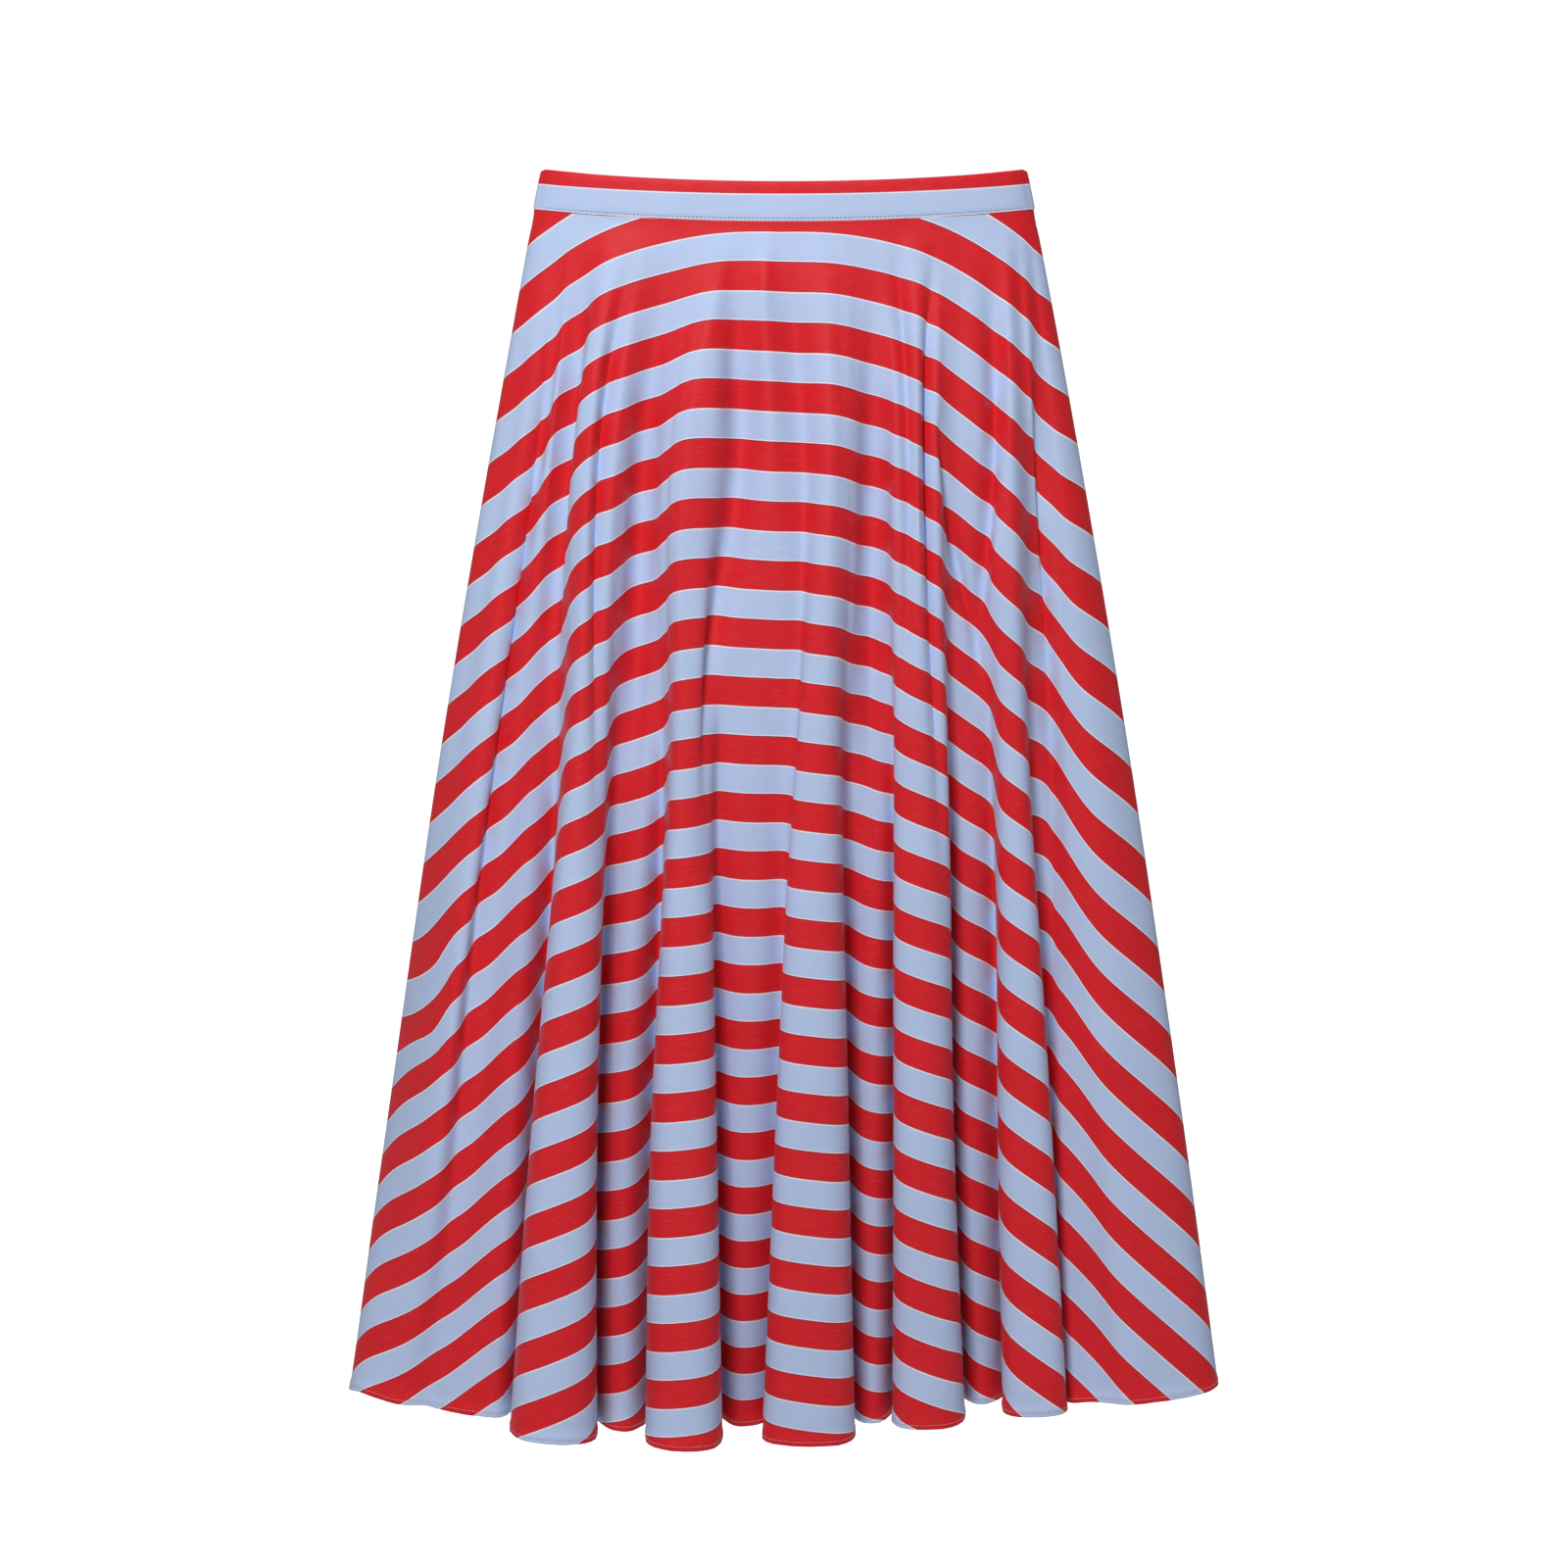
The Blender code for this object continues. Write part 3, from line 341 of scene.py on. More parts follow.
def pocket_path(valley, crest, reach, depth, u):
    """A curve from a valley down into its hidden pocket and out over it to the crest."""
    gap = (crest - valley).real
    leaves, before, after = (share * gap for share in POCKET_HANDLES)
    bottom = valley + POCKET_BOTTOM_AT * gap - 1j * depth
    down = np.clip(u / POCKET_SPLIT, 0.0, 1.0)
    out = np.clip((u - POCKET_SPLIT) / (1.0 - POCKET_SPLIT), 0.0, 1.0)
    return np.where(u < POCKET_SPLIT, curve(valley, valley + leaves, bottom - before, bottom, down),
                    curve(bottom, bottom + after, crest - reach * gap, crest, out))


def spread_along(length, rate, u):
    """The share of a fold's cut used up along its path, by a cubic with given end rates."""
    start, end = np.minimum(rate, STEEPEST_SPREAD * length[-1])
    used = (start * u * (1 - u) ** 2 + length[-1] * u * u * (3 - 2 * u) - end * u * u * (1 - u))
    return np.interp(length, used, u)


def fold_values(folds, at_waist, column, level):
    """A column of the folds' table, from its values at the waist seam, read at one level."""
    return np.array([through_levels((first, *getattr(fold, column)), level)
                     for first, fold in zip(at_waist, folds)])


def ring_at(folds, level):
    """The ring of cloth at one level: its points' places among the rows, and the points."""
    angles = fold_angles(folds, level)
    waist = fold_angles(folds, 0.0)
    waist_x, waist_out, waist_heading = half_oval((waist - waist[0]) / (waist[-1] - waist[0]))
    points = MM * (fold_values(folds, waist_x / MM, "across", level)
                   + 1j * fold_values(folds, waist_out / MM, "forward", level))
    reach = fold_values(folds, [WAIST_REACH] * len(folds), "reach", level)
    settled = smoothstep(level / HEADING_SETTLES_AT)
    heading = (1 - settled) * waist_heading + settled * np.radians([f.heading for f in folds])
    upright = np.abs(np.sin(heading))
    radius = cut_radius(angles, level)
    pocket = max(0.0, float(through_levels(POCKET_DEPTH, level))) if level > LEVELS[1] else 0.0
    formed = smoothstep(pocket / POCKET_FULL_AT)
    u = np.linspace(0.0, 1.0, PATH_STEPS + 1)
    paths = []
    for i, fold in enumerate(folds[:-1]):
        pair = slice(i, i + 2)
        start, end = points[pair]
        handles = reach[pair] * (abs((end - start).real) * (1 - upright[pair])
                                 + abs(end - start) * upright[pair]) * np.exp(1j * heading[pair])
        path = curve(start, start + handles[0], end - handles[1], end, u)
        if fold.pocket > 0 and formed > 0:
            depth = pocket * MM * fold.pocket
            if end.imag > start.imag:
                over = pocket_path(start, end, reach[i + 1], depth, u)
            else:
                over = pocket_path(end, start, reach[i], depth, u[::-1])
            path = path * (1 - formed) + over * formed
        paths.append(path)
    lengths = [running_total(np.abs(np.diff(path))) for path in paths]
    # Path length per degree of the cut at each row: the harmonic mean of both sides'.
    spans = np.diff(angles)
    open_rate = np.array([length[-1] for length in lengths]) / spans
    inner = 2 * open_rate[:-1] * open_rate[1:] / (open_rate[:-1] + open_rate[1:])
    rate = np.concatenate([open_rate[:1], inner, open_rate[-1:]])
    places = []
    for i, length in enumerate(lengths):
        along = spread_along(length, rate[i:i + 2] * spans[i], u)
        if folds[i].pocket > 0 and formed > 0:
            cut = math.radians(spans[i]) * (radius[i] + radius[i + 1]) / 2
            spare = max(0.0, cut - length[-1])
            taken_up = smoothstep((length / length[-1] - POCKET_SPARE_FROM) / POCKET_SPARE_OVER)
            hidden = (length + spare * taken_up) / (length[-1] + spare)
            along = along * (1 - formed) + hidden * formed
        places.append(i + along)
    # Each row's own point is the last of one path and the first of the next.
    ring = [path[:-1] for path in paths] + [points[-1:]]
    return np.concatenate([place[:-1] for place in places] + [[len(paths)]]), np.concatenate(ring)


# A panel's middle surface on a fine grid. Its values are X, Y and Z, and the place on the
# cut: across and down from the centre of the cut.
Panel = namedtuple("Panel", "folds side levels places values")


def panel_surface(folds, side):
    levels = np.linspace(0.0, 1.0, FINE_LEVELS + 1)
    places = np.linspace(0.0, len(folds) - 1.0, (len(folds) - 1) * PATH_STEPS + 1)
    points = np.zeros((len(levels), len(places)), complex)
    angle = np.zeros(points.shape)
    for row, level in enumerate(levels):
        points[row] = np.interp(places, *ring_at(folds, level))
        angle[row] = np.interp(places, np.arange(len(folds)), fold_angles(folds, level))
    share = (angle[0] - angle[0, 0]) / (angle[0, -1] - angle[0, 0])
    oval_x, oval_out, _ = half_oval(share)
    free = smoothstep(levels / FOLDS_START_AT)[:, None]
    points = (oval_x + 1j * oval_out) * (1 - free) + points * free
    radius = cut_radius(angle, levels[:, None])
    # The cloth doesn't stretch down the cut: what it doesn't use sideways, it drops.
    down_cut = np.diff(radius, axis=0)
    across_cut = np.radians(np.diff(angle, axis=0)) * (radius[1:] + radius[:-1]) / 2
    drop = np.sqrt(np.maximum(down_cut ** 2 + across_cut ** 2 - np.abs(np.diff(points, axis=0)) ** 2,
                              (LEAST_DROP * down_cut) ** 2))
    z = np.tile(seam_height(points[0].real, side), (len(levels), 1))
    z[1:] -= np.cumsum(drop, axis=0)
    cut = radius * np.exp(1j * np.radians(angle))
    values = np.stack([points.real, points.imag * side, z, cut.imag, cut.real], axis=-1)
    return Panel(folds, side, levels, places, values)


def read_panel(panel, at_levels, at_places):
    """The panel's values at other levels, and at one row of places for each of them."""
    result = np.empty(np.shape(at_places) + (panel.values.shape[-1],))
    for row, (level, row_places) in enumerate(zip(at_levels, at_places)):
        i = int(np.clip(np.searchsorted(panel.levels, level) - 1, 0, len(panel.levels) - 2))
        share = (level - panel.levels[i]) / (panel.levels[i + 1] - panel.levels[i])
        line = panel.values[i] * (1 - share) + panel.values[i + 1] * share
        for axis in range(line.shape[-1]):
            result[row, :, axis] = np.interp(row_places, panel.places, line[:, axis])
    return result


def surface_normals(points, side):
    """Unit normals that face out of the skirt."""
    across = np.gradient(points, axis=1)
    down = np.gradient(points, axis=0)
    normal = np.cross(across, down) * side
    return normal / np.linalg.norm(normal, axis=-1, keepdims=True)


def shell_levels():
    """The levels of a shell's rows: even down the skirt, close together at the hem."""
    hem_rows = 1.0 - np.array([HEM_HEIGHT + HEM_STEP, HEM_HEIGHT, HEM_HEIGHT - HEM_STEP,
                               HEM_STITCH_HEIGHT, *HEM_EDGE_ROWS]) / PANEL_LENGTH
    seam_rows = np.array(SEAM_ROWS) / PANEL_LENGTH
    even = np.linspace(seam_rows[-1], hem_rows[0], LEVELS_SHOWN)[1:-1]
    return np.concatenate([seam_rows, even, hem_rows])


def column_steps(fold, following):
    """The steps on one fold's curve where the shell has its columns."""
    if fold.pocket == 0:
        return np.linspace(0.0, 1.0, PLAIN_COLUMNS, endpoint=False)
    down_columns, out_columns = POCKET_COLUMNS
    down = POCKET_SPLIT * (0.5 - 0.5 * np.cos(np.linspace(0.0, math.pi, down_columns + 1)))[:-1]
    eased = np.linspace(0.0, 1.0, out_columns + 1)[:-1] ** POCKET_COLUMNS_EASE
    out = POCKET_SPLIT + (1 - POCKET_SPLIT) * eased
    steps = np.concatenate([down, out])
    if following.forward[-1] < fold.forward[-1]:
        steps = np.concatenate([[0.0], 1.0 - steps[:0:-1]])
    return steps


def place_of_angle(folds, angle):
    """The place among the rows of an angle on the cut, at the hem."""
    return float(np.interp(angle, fold_angles(folds, 1.0), np.arange(len(folds))))


def shell_places(folds, levels, first, last):
    """The places of a shell's columns at each of its levels, from one place to another."""
    steps = [i + column_steps(folds[i], folds[i + 1]) for i in range(len(folds) - 1)]
    steps = np.concatenate(steps)
    inside = steps[(steps > first + NEAREST_COLUMN) & (steps < last - NEAREST_COLUMN)] * PATH_STEPS
    result = []
    for level in levels:
        ring = ring_at(folds, level)[0]
        result.append([first, *np.interp(inside, np.arange(len(ring)), ring), last])
    return np.array(result)


# ---- meshes ----
def add_object(name, data):
    thing = bpy.data.objects.new(name, data)
    bpy.context.scene.collection.objects.link(thing)
    return thing


def add_mesh(name, vertices, faces, material, corner_uv=None, smooth_angle=60.0):
    mesh = bpy.data.meshes.new(name)
    mesh.from_pydata([tuple(v) for v in vertices], [], faces)
    mesh.update()
    if corner_uv is not None:
        layer = mesh.uv_layers.new(name="cut")
        order = np.zeros(len(mesh.loops), np.int32)
        mesh.loops.foreach_get("vertex_index", order)
        layer.data.foreach_set("uv", np.asarray(corner_uv, np.float32)[order].ravel())
    mesh.materials.append(material)
    mesh.shade_smooth()
    mesh.set_sharp_from_angle(angle=math.radians(smooth_angle))
    return add_object(name, mesh)


def add_shell(name, outer, inner, cut, side, material):
    """A closed thin shell between an outer and an inner grid of points."""
    rows, columns = outer.shape[:2]
    vertices = np.concatenate([outer.reshape(-1, 3), inner.reshape(-1, 3)])
    under = rows * columns
    index = np.arange(under).reshape(rows, columns)
    a, b, c, d = index[:-1, :-1], index[1:, :-1], index[1:, 1:], index[:-1, 1:]
    faces = [np.stack([a, b, c, d], axis=-1).reshape(-1, 4)]
    faces.append(faces[0][:, ::-1] + under)
    for line, flip in ((index[0], False), (index[-1], True), (index[:, 0], True), (index[:, -1], False)):
        strip = np.stack([line[:-1], line[1:], line[1:] + under, line[:-1] + under], axis=-1)
        faces.append(strip[:, ::-1] if flip else strip)
    faces = np.concatenate(faces)
    if side == BACK:
        faces = faces[:, ::-1]
    uv = np.concatenate([cut.reshape(-1, 2), cut.reshape(-1, 2)])
    return add_mesh(name, vertices, faces.tolist(), material, uv)


def crease_depths(creases, levels, angle, radius):
    """How far in the creases and the small unevenness press each point of a panel."""
    depth = np.zeros_like(angle)
    for crease in creases:
        middle = np.array([through_levels(crease.angle, level) for level in levels])[:, None]
        off = np.radians(angle - middle) * radius / (crease.width * MM)
        comes = smoothstep((levels - crease.begins) / (crease.full - crease.begins))
        goes = 1.0 - smoothstep((levels - crease.full) / (crease.ends - crease.full))
        depth += crease.depth * MM * (comes * goes)[:, None] * np.exp(-off ** 2)
    for length, turns, start in UNEVEN_WAVES:
        turn = 2 * math.pi * (angle / length) + turns * levels[:, None] + start
        below_band = smoothstep(levels / HEADING_SETTLES_AT)[:, None]
        depth += UNEVEN_DEPTH / len(UNEVEN_WAVES) * np.sin(turn) * below_band
    above_hem = HEM_RADIUS - radius
    for length in HEM_PUCKER_LENGTHS:
        near = smoothstep(1.0 - above_hem / HEM_PUCKER_REACH)
        depth += HEM_PUCKER / 2 * near * np.sin(np.radians(angle) * radius * 2 * math.pi / length)
    from_edge = np.radians(np.minimum(angle - angle[:, :1], angle[:, -1:] - angle)) * radius
    return depth * smoothstep(from_edge / CREASE_KEEPS_OFF)


def pressed_points(panel, creases, levels, places):
    """Points and normals of a panel with its creases, and their places on the cut."""
    grid = read_panel(panel, levels, places)
    points, cut = grid[..., :3], grid[..., 3:]
    angle = np.degrees(np.arctan2(cut[..., 0], cut[..., 1]))
    depth = crease_depths(creases, levels, angle, np.hypot(cut[..., 0], cut[..., 1]))
    points = points - surface_normals(points, panel.side) * depth[..., None]
    return points, surface_normals(points, panel.side), cut


def add_cloth(name, panel, creases, first, last, material):
    """One cut panel of cloth with its turned hem and its rolled side edges."""
    levels = shell_levels()
    points, normals, cut = pressed_points(panel, creases, levels,
                                          shell_places(panel.folds, levels, first, last))
    above_hem = (1.0 - levels) * PANEL_LENGTH
    half = np.where(above_hem < HEM_HEIGHT + HEM_STEP / 2, HEM_HALF, CLOTH_HALF)
    half[-1] = CLOTH_HALF
    half = half[:, None, None]
    for edge in (0, -1):
        points[:, edge] -= normals[:, edge] * SEAM_ROLL
    return add_shell(name, points + normals * half, points - normals * half, cut, panel.side, material)


def add_stitches(name, line, normals, stitch, radius, material):
    """A row of stitches of a length and pitch along a line: each is a slim six-sided grain."""
    length, pitch = stitch
    along = along_line(line)
    vertices, faces = [], []
    for middle in np.arange(pitch / 2, along[-1] - pitch / 2, pitch):
        start = at_distance(middle - length / 2, along, line)
        end = at_distance(middle + length / 2, along, line)
        up = at_distance(middle, along, normals)
        way = (end - start) / np.linalg.norm(end - start)
        across = np.cross(way, up)
        first = len(vertices)
        vertices.append(start)
        for share in STITCH_SHOULDERS:
            vertices.extend(thread_ring(start + (end - start) * share, radius, across, up))
        vertices.append(end)
        last = len(vertices) - 1
        for i in range(THREAD_SIDES):
            a, b = first + 1 + i, first + 1 + (i + 1) % THREAD_SIDES
            c, d = b + THREAD_SIDES, a + THREAD_SIDES
            faces.extend([(first, b, a), (a, b, c, d), (d, c, last)])
    return add_mesh(name, vertices, faces, material)


def hem_stitch_line(panel, creases, first, last):
    """The line of the hem's stitches on the outer face of the cloth, and its normals."""
    # The rows above and below the line are there for its normals.
    heights = HEM_STITCH_HEIGHT + np.array([1.0, 0.0, -1.0]) * MM
    places = np.tile(np.linspace(first, last, HEM_STITCH_POINTS), (len(heights), 1))
    points, normals, _ = pressed_points(panel, creases, 1.0 - heights / PANEL_LENGTH, places)
    return points[1] + normals[1] * HEM_HALF, normals[1]


# ---- the waistband ----
def band_points(shares, side, height, out):
    """Points of the band at one height above the waist seam and one distance outward."""
    rise = (height - SEAM_GAP) / (BAND_HEIGHT - SEAM_GAP)
    half_width = WAIST_HALF_WIDTH + (BAND_TOP_HALF_WIDTH - WAIST_HALF_WIDTH) * rise
    half_depth = WAIST_HALF_DEPTH + (BAND_TOP_HALF_DEPTH - WAIST_HALF_DEPTH) * rise
    x, forward, heading = half_oval(shares, half_width, half_depth)
    foot_x, _, _ = half_oval(shares)
    from_end = WAIST_HALF_WIDTH - np.abs(foot_x)
    near_top = max(0.0, rise - BAND_CORNER_FROM) / (1.0 - BAND_CORNER_FROM)
    rounded = BAND_CORNER * BAND_CORNER_DROP * near_top * (1.0 - smoothstep(from_end / BAND_CORNER))
    wave = sum(np.sin(2 * math.pi * foot_x / length + start) for length, start in BAND_WAVES)
    out = out + BAND_WAVE * wave / len(BAND_WAVES) * smoothstep(from_end / CREASE_KEEPS_OFF) * rise
    z = seam_height(foot_x, side) + height - rounded
    # Known fault: X should lose sin(heading) * out. As it stands, the section is skewed towards
    # the oval's ends, and turns inside out within about 6 mm of them.
    return np.stack([x + np.sin(heading) * out, (forward + np.cos(heading) * out) * side, z], axis=-1)


def band_shares(first, last):
    """Columns of the band, closer together at the tight turns of the oval's ends."""
    even = np.linspace(0.0, 1.0, BAND_COLUMNS_SHOWN + 1)
    spread = (1.0 - BAND_COLUMNS_EASE) * even + BAND_COLUMNS_EASE * (0.5 - 0.5 * np.cos(math.pi * even))
    inside = spread[(spread > first + BAND_NEAREST) & (spread < last - BAND_NEAREST)]
    gap = SEAM_GAP / 2 / (2 * WAIST_HALF_WIDTH)
    return np.concatenate([[first + gap], inside, [last - gap]])


def add_band(name, side, first, last, material):
    """A stretch of the waistband: its closed section carried along the waist's oval."""
    shares = band_shares(first, last)
    rings = [band_points(shares, side, height * MM, out * MM) for height, out in BAND_SECTION]
    count, columns = len(rings), len(shares)
    vertices = np.concatenate(rings)
    index = np.arange(count * columns).reshape(count, columns)
    following = np.roll(index, -1, axis=0)
    faces = np.stack([index[:, :-1], index[:, 1:], following[:, 1:], following[:, :-1]], axis=-1)
    faces = faces.reshape(-1, 4).tolist() + [index[::-1, 0].tolist(), index[:, -1].tolist()]
    if side == BACK:
        faces = [face[::-1] for face in faces]
    uv = []
    for (height, _), ring in zip(BAND_SECTION, rings):
        widening = BAND_RED_WIDENS * (ring[:, 0] / WAIST_HALF_WIDTH) ** 2 * height * MM / BAND_HEIGHT
        uv.append(np.stack([ring[:, 0], BAND_HEIGHT - height * MM - widening], axis=-1))
    return add_mesh(name, vertices, faces, material, np.concatenate(uv), smooth_angle=70.0)


def band_stitch_line(side, first, last):
    """The line of the band's stitches in the dimple of its section, and its normals."""
    shares = np.linspace(first + BAND_NEAREST, last - BAND_NEAREST, BAND_STITCH_POINTS)
    line = band_points(shares, side, BAND_STITCH_HEIGHT * MM, BAND_STITCH_OUT * MM)
    further = band_points(shares, side, BAND_STITCH_HEIGHT * MM, (BAND_STITCH_OUT + 1.0) * MM)
    return line, (further - line) / MM


# ---- the zip's cloth ----
def zip_path(panel, reach):
    """Points inside the centre back at distances from its seam, from the top down, and normals."""
    oval_shares = np.linspace(0.0, 1.0, OVAL_STEPS)
    oval_x, _, _ = half_oval(oval_shares)
    shares = np.interp(reach, oval_x, oval_shares)
    (band_rows, panel_rows), (lowest, first_level) = TAPE_ROWS, TAPE_GAP_AT_SEAM
    rows = [band_points(shares, BACK, height, 0.0)
            for height in np.linspace(BAND_HEIGHT - TAPE_BELOW_BAND_TOP, lowest, band_rows)]
    levels = np.linspace(first_level, TAPE_BELOW_SEAM, panel_rows)
    places = []
    for level in levels:
        radius = SEAM_RADIUS_CENTRE + PANEL_LENGTH * level
        places.append([place_of_angle(panel.folds, math.degrees(r / radius)) for r in reach])
    below = pressed_points(panel, BACK_CREASES, levels, np.array(places))[0]
    points = np.concatenate([np.array(rows), below])
    return points, surface_normals(points, BACK)


def add_tape(name, panel, low, high, material):
    """One of the zip's two woven tapes."""
    reach = np.linspace(low, high, TAPE_COLUMNS)
    points, normals = zip_path(panel, reach)
    points = points - normals * TAPE_INSET
    cut = np.stack(np.broadcast_arrays(reach[None, :], along_line(points[:, 0])[:, None]), axis=-1)
    return add_shell(name, points + normals * TAPE_HALF, points - normals * TAPE_HALF, cut, BACK, material)


def add_teeth(name, panel, material):
    """The closed coil: short turns that cross the seam, one under another."""
    points, normals = zip_path(panel, np.array(TOOTH_GUIDE))
    points = points - normals * TOOTH_INSET
    centre, up = points[:, 1], normals[:, 1]
    along = along_line(centre)
    across = np.array([1.0, 0.0, 0.0])
    vertices, faces = [], []
    for distance in np.arange(TOOTH_PITCH, along[-1] - TOOTH_PITCH, TOOTH_PITCH):
        middle = at_distance(distance, along, centre)
        outward = at_distance(distance, along, up)
        down = np.cross(across, outward)
        rings = []
        for share, swell in TOOTH_RINGS:
            rings.append(range(len(vertices), len(vertices) + THREAD_SIDES))
            vertices.extend(thread_ring(middle + across * TOOTH_LENGTH * share, TOOTH_RADIUS * swell,
                                        down, outward))
        for ring, after in zip(rings, rings[1:]):
            for i in range(THREAD_SIDES):
                following = (i + 1) % THREAD_SIDES
                faces.append((ring[i], ring[following], after[following], after[i]))
        faces.append(tuple(reversed(rings[0])))
        faces.append(tuple(rings[-1]))
    return add_mesh(name, vertices, faces, material)


# ---- materials ----
# The values that are even all over a surface, by the shader's socket.
COTTON_FINISH = {"Roughness": 0.5, "Sheen Weight": 0.04, "Sheen Roughness": 0.45,
                 "Specular IOR Level": 0.22}
THREAD_FINISH = {"Roughness": 0.55, "Sheen Weight": 0.2}
TAPE_FINISH = {"Roughness": 0.8, "Specular IOR Level": 0.25}
ENAMEL_FINISH = {"Roughness": 0.34, "Metallic": 0.15, "Coat Weight": 0.5, "Coat Roughness": 0.18}
FLOOR_FINISH = {"Roughness": 0.9, "Base Color": (0.5, 0.5, 0.5), "Emission Color": (1.0, 1.0, 1.0)}

RED = (0.76, 0.015, 0.025)
BLUE = (0.525, 0.65, 0.93)
LINE_WHITE = (0.96, 0.86, 0.90)
LINE_DARK = (0.10, 0.004, 0.09)
BLUE_SLUB = (0.60, 0.72, 0.96)
RED_SLUB = (0.80, 0.045, 0.045)
LINE_WIDTH_ABOVE = 1.05 * MM  # the white line along the top of a blue stripe
LINE_WIDTH_BELOW = 0.80 * MM
DARK_WIDTH_ABOVE = 0.30 * MM  # the dark edge on the red side of each line
DARK_WIDTH_BELOW = 0.50 * MM
LINE_BLUR = 0.18 * MM
EDGE_GRAIN = (1.2 * MM, 40.0 * MM)  # of the wandering of the stripes' edges: along and across them
THREAD_SHIFT = 0.25 * MM  # and its reach
SLUB_SIZE = (16.0 * MM, 0.55 * MM)
SLUB_SHOWS = (0.54, 0.82)  # the noise at which a slub starts to show and shows in full
FLECK_SIZE = (0.9 * MM, 0.7 * MM)
CLOUD_SIZE = (60.0 * MM, 60.0 * MM)
FLECK_TONE = 0.16  # how far flecks and clouds lighten the cloth from its darkest
CLOUD_TONE = 0.10
DARKEST_TONE = 0.87
THREAD_PITCH = 0.42 * MM
WEAVE_HEIGHT = 0.035 * MM
WEAVE_STRENGTH = 0.6
SLUB_HEIGHT = 2.0  # of a slub, in heights of the weave

BAND_THREAD = (0.055, 0.085, 0.24)
HEM_THREAD = (0.80, 0.52, 0.50)
THREAD_GRAIN = 0.6 * MM
THREAD_DARKER = 0.72  # the dark side of a thread's twist, as a share of its colour
THREAD_HEIGHT = 0.05 * MM

TAPE_LIGHT = (0.42, 0.53, 0.78)
TAPE_DARK = (0.29, 0.38, 0.62)
TAPE_RIB_WIDTH = 3.0 * MM
TAPE_RIB_PITCH = 1.1 * MM
TAPE_RIB_HEIGHT = 0.12 * MM

COIL_BLUE = (0.45, 0.56, 0.80)
ENAMEL_BLUE = (0.42, 0.54, 0.78)
WORN_METAL = (0.78, 0.77, 0.74)
ENAMEL_GRAIN = 1.6 * MM
ENAMEL_DARKER = 0.9  # the dark of its mottling, as a share of its colour
ENAMEL_HEIGHT = 0.02 * MM
WORN_EDGE = (0.54, 0.62)  # pointiness at which wear starts and is full
WORN_PATCH = (0.42, 0.62)  # mottling at which wear starts and is full


def feed(tree, socket, value):
    """Gives a socket another node's output, a number, or a colour's red, green and blue."""
    if isinstance(value, bpy.types.NodeSocket):
        tree.links.new(value, socket)
    elif socket.type == "RGBA":
        socket.default_value = (*value, 1.0)
    else:
        socket.default_value = value


def new_material(name, finish):
    material = bpy.data.materials.new(name)
    material.use_nodes = True
    shader = material.node_tree.nodes["Principled BSDF"]
    for socket, value in finish.items():
        feed(material.node_tree, shader.inputs[socket], value)
    return material, material.node_tree, shader


def node(tree, kind, feeds=(), **settings):
    """A new node with its settings, and what feeds its inputs, by their names or numbers."""
    made = tree.nodes.new(kind)
    for key, value in settings.items():
        setattr(made, key, value)
    for key, value in dict(feeds).items():
        feed(tree, made.inputs[key], value)
    return made


def maths(tree, operation, *values):
    """A math node; each value is a number or another node's output."""
    return node(tree, "ShaderNodeMath", enumerate(values), operation=operation).outputs[0]


def mix(tree, share, first, second):
    """A colour mix: the share is an output, and each colour an output or a triple."""
    made = node(tree, "ShaderNodeMix", {"Factor": share}, data_type="RGBA")
    for socket, value in zip((s for s in made.inputs if s.type == "RGBA"), (first, second)):
        feed(tree, socket, value)
    return next(s for s in made.outputs if s.type == "RGBA")


def step_between(tree, value, low, high):
    """Rises softly from 0 at low to 1 at high."""
    feeds = {"Value": value, "From Min": low, "From Max": high}
    return node(tree, "ShaderNodeMapRange", feeds, interpolation_type="SMOOTHSTEP").outputs["Result"]


def noise(tree, place, size, detail=2.0):
    """Noise on the cut, with grains of a size along the stripes and across them."""
    grid = node(tree, "ShaderNodeVectorMath", {0: place, 1: (*size, 1.0)}, operation="DIVIDE")
    feeds = {"Vector": grid.outputs[0], "Scale": 1.0, "Detail": detail}
    return node(tree, "ShaderNodeTexNoise", feeds, noise_dimensions="2D").outputs["Fac"]


def either(tree, share, low, high):
    """The low number where the share is 0, and the high one where it is 1."""
    return maths(tree, "MULTIPLY_ADD", share, high - low, low)


def grain_noise(tree, size):
    """Noise in the piece's own space, with grains of one size."""
    place = node(tree, "ShaderNodeTexCoord").outputs["Object"]
    return node(tree, "ShaderNodeTexNoise", {"Vector": place, "Scale": 1.0 / size}).outputs["Fac"]


def place_on_cut(tree):
    """The place on the cut: as one output, across alone and down alone."""
    cut = node(tree, "ShaderNodeUVMap", uv_map="cut").outputs[0]
    parts = node(tree, "ShaderNodeSeparateXYZ", {0: cut}).outputs
    return cut, parts[0], parts[1]


def add_relief(tree, shader, relief, height, strength=1.0):
    """Bumps of a height in metres, by the relief's output."""
    bump = node(tree, "ShaderNodeBump", {"Distance": height, "Strength": strength, "Height": relief})
    feed(tree, shader.inputs["Normal"], bump.outputs[0])


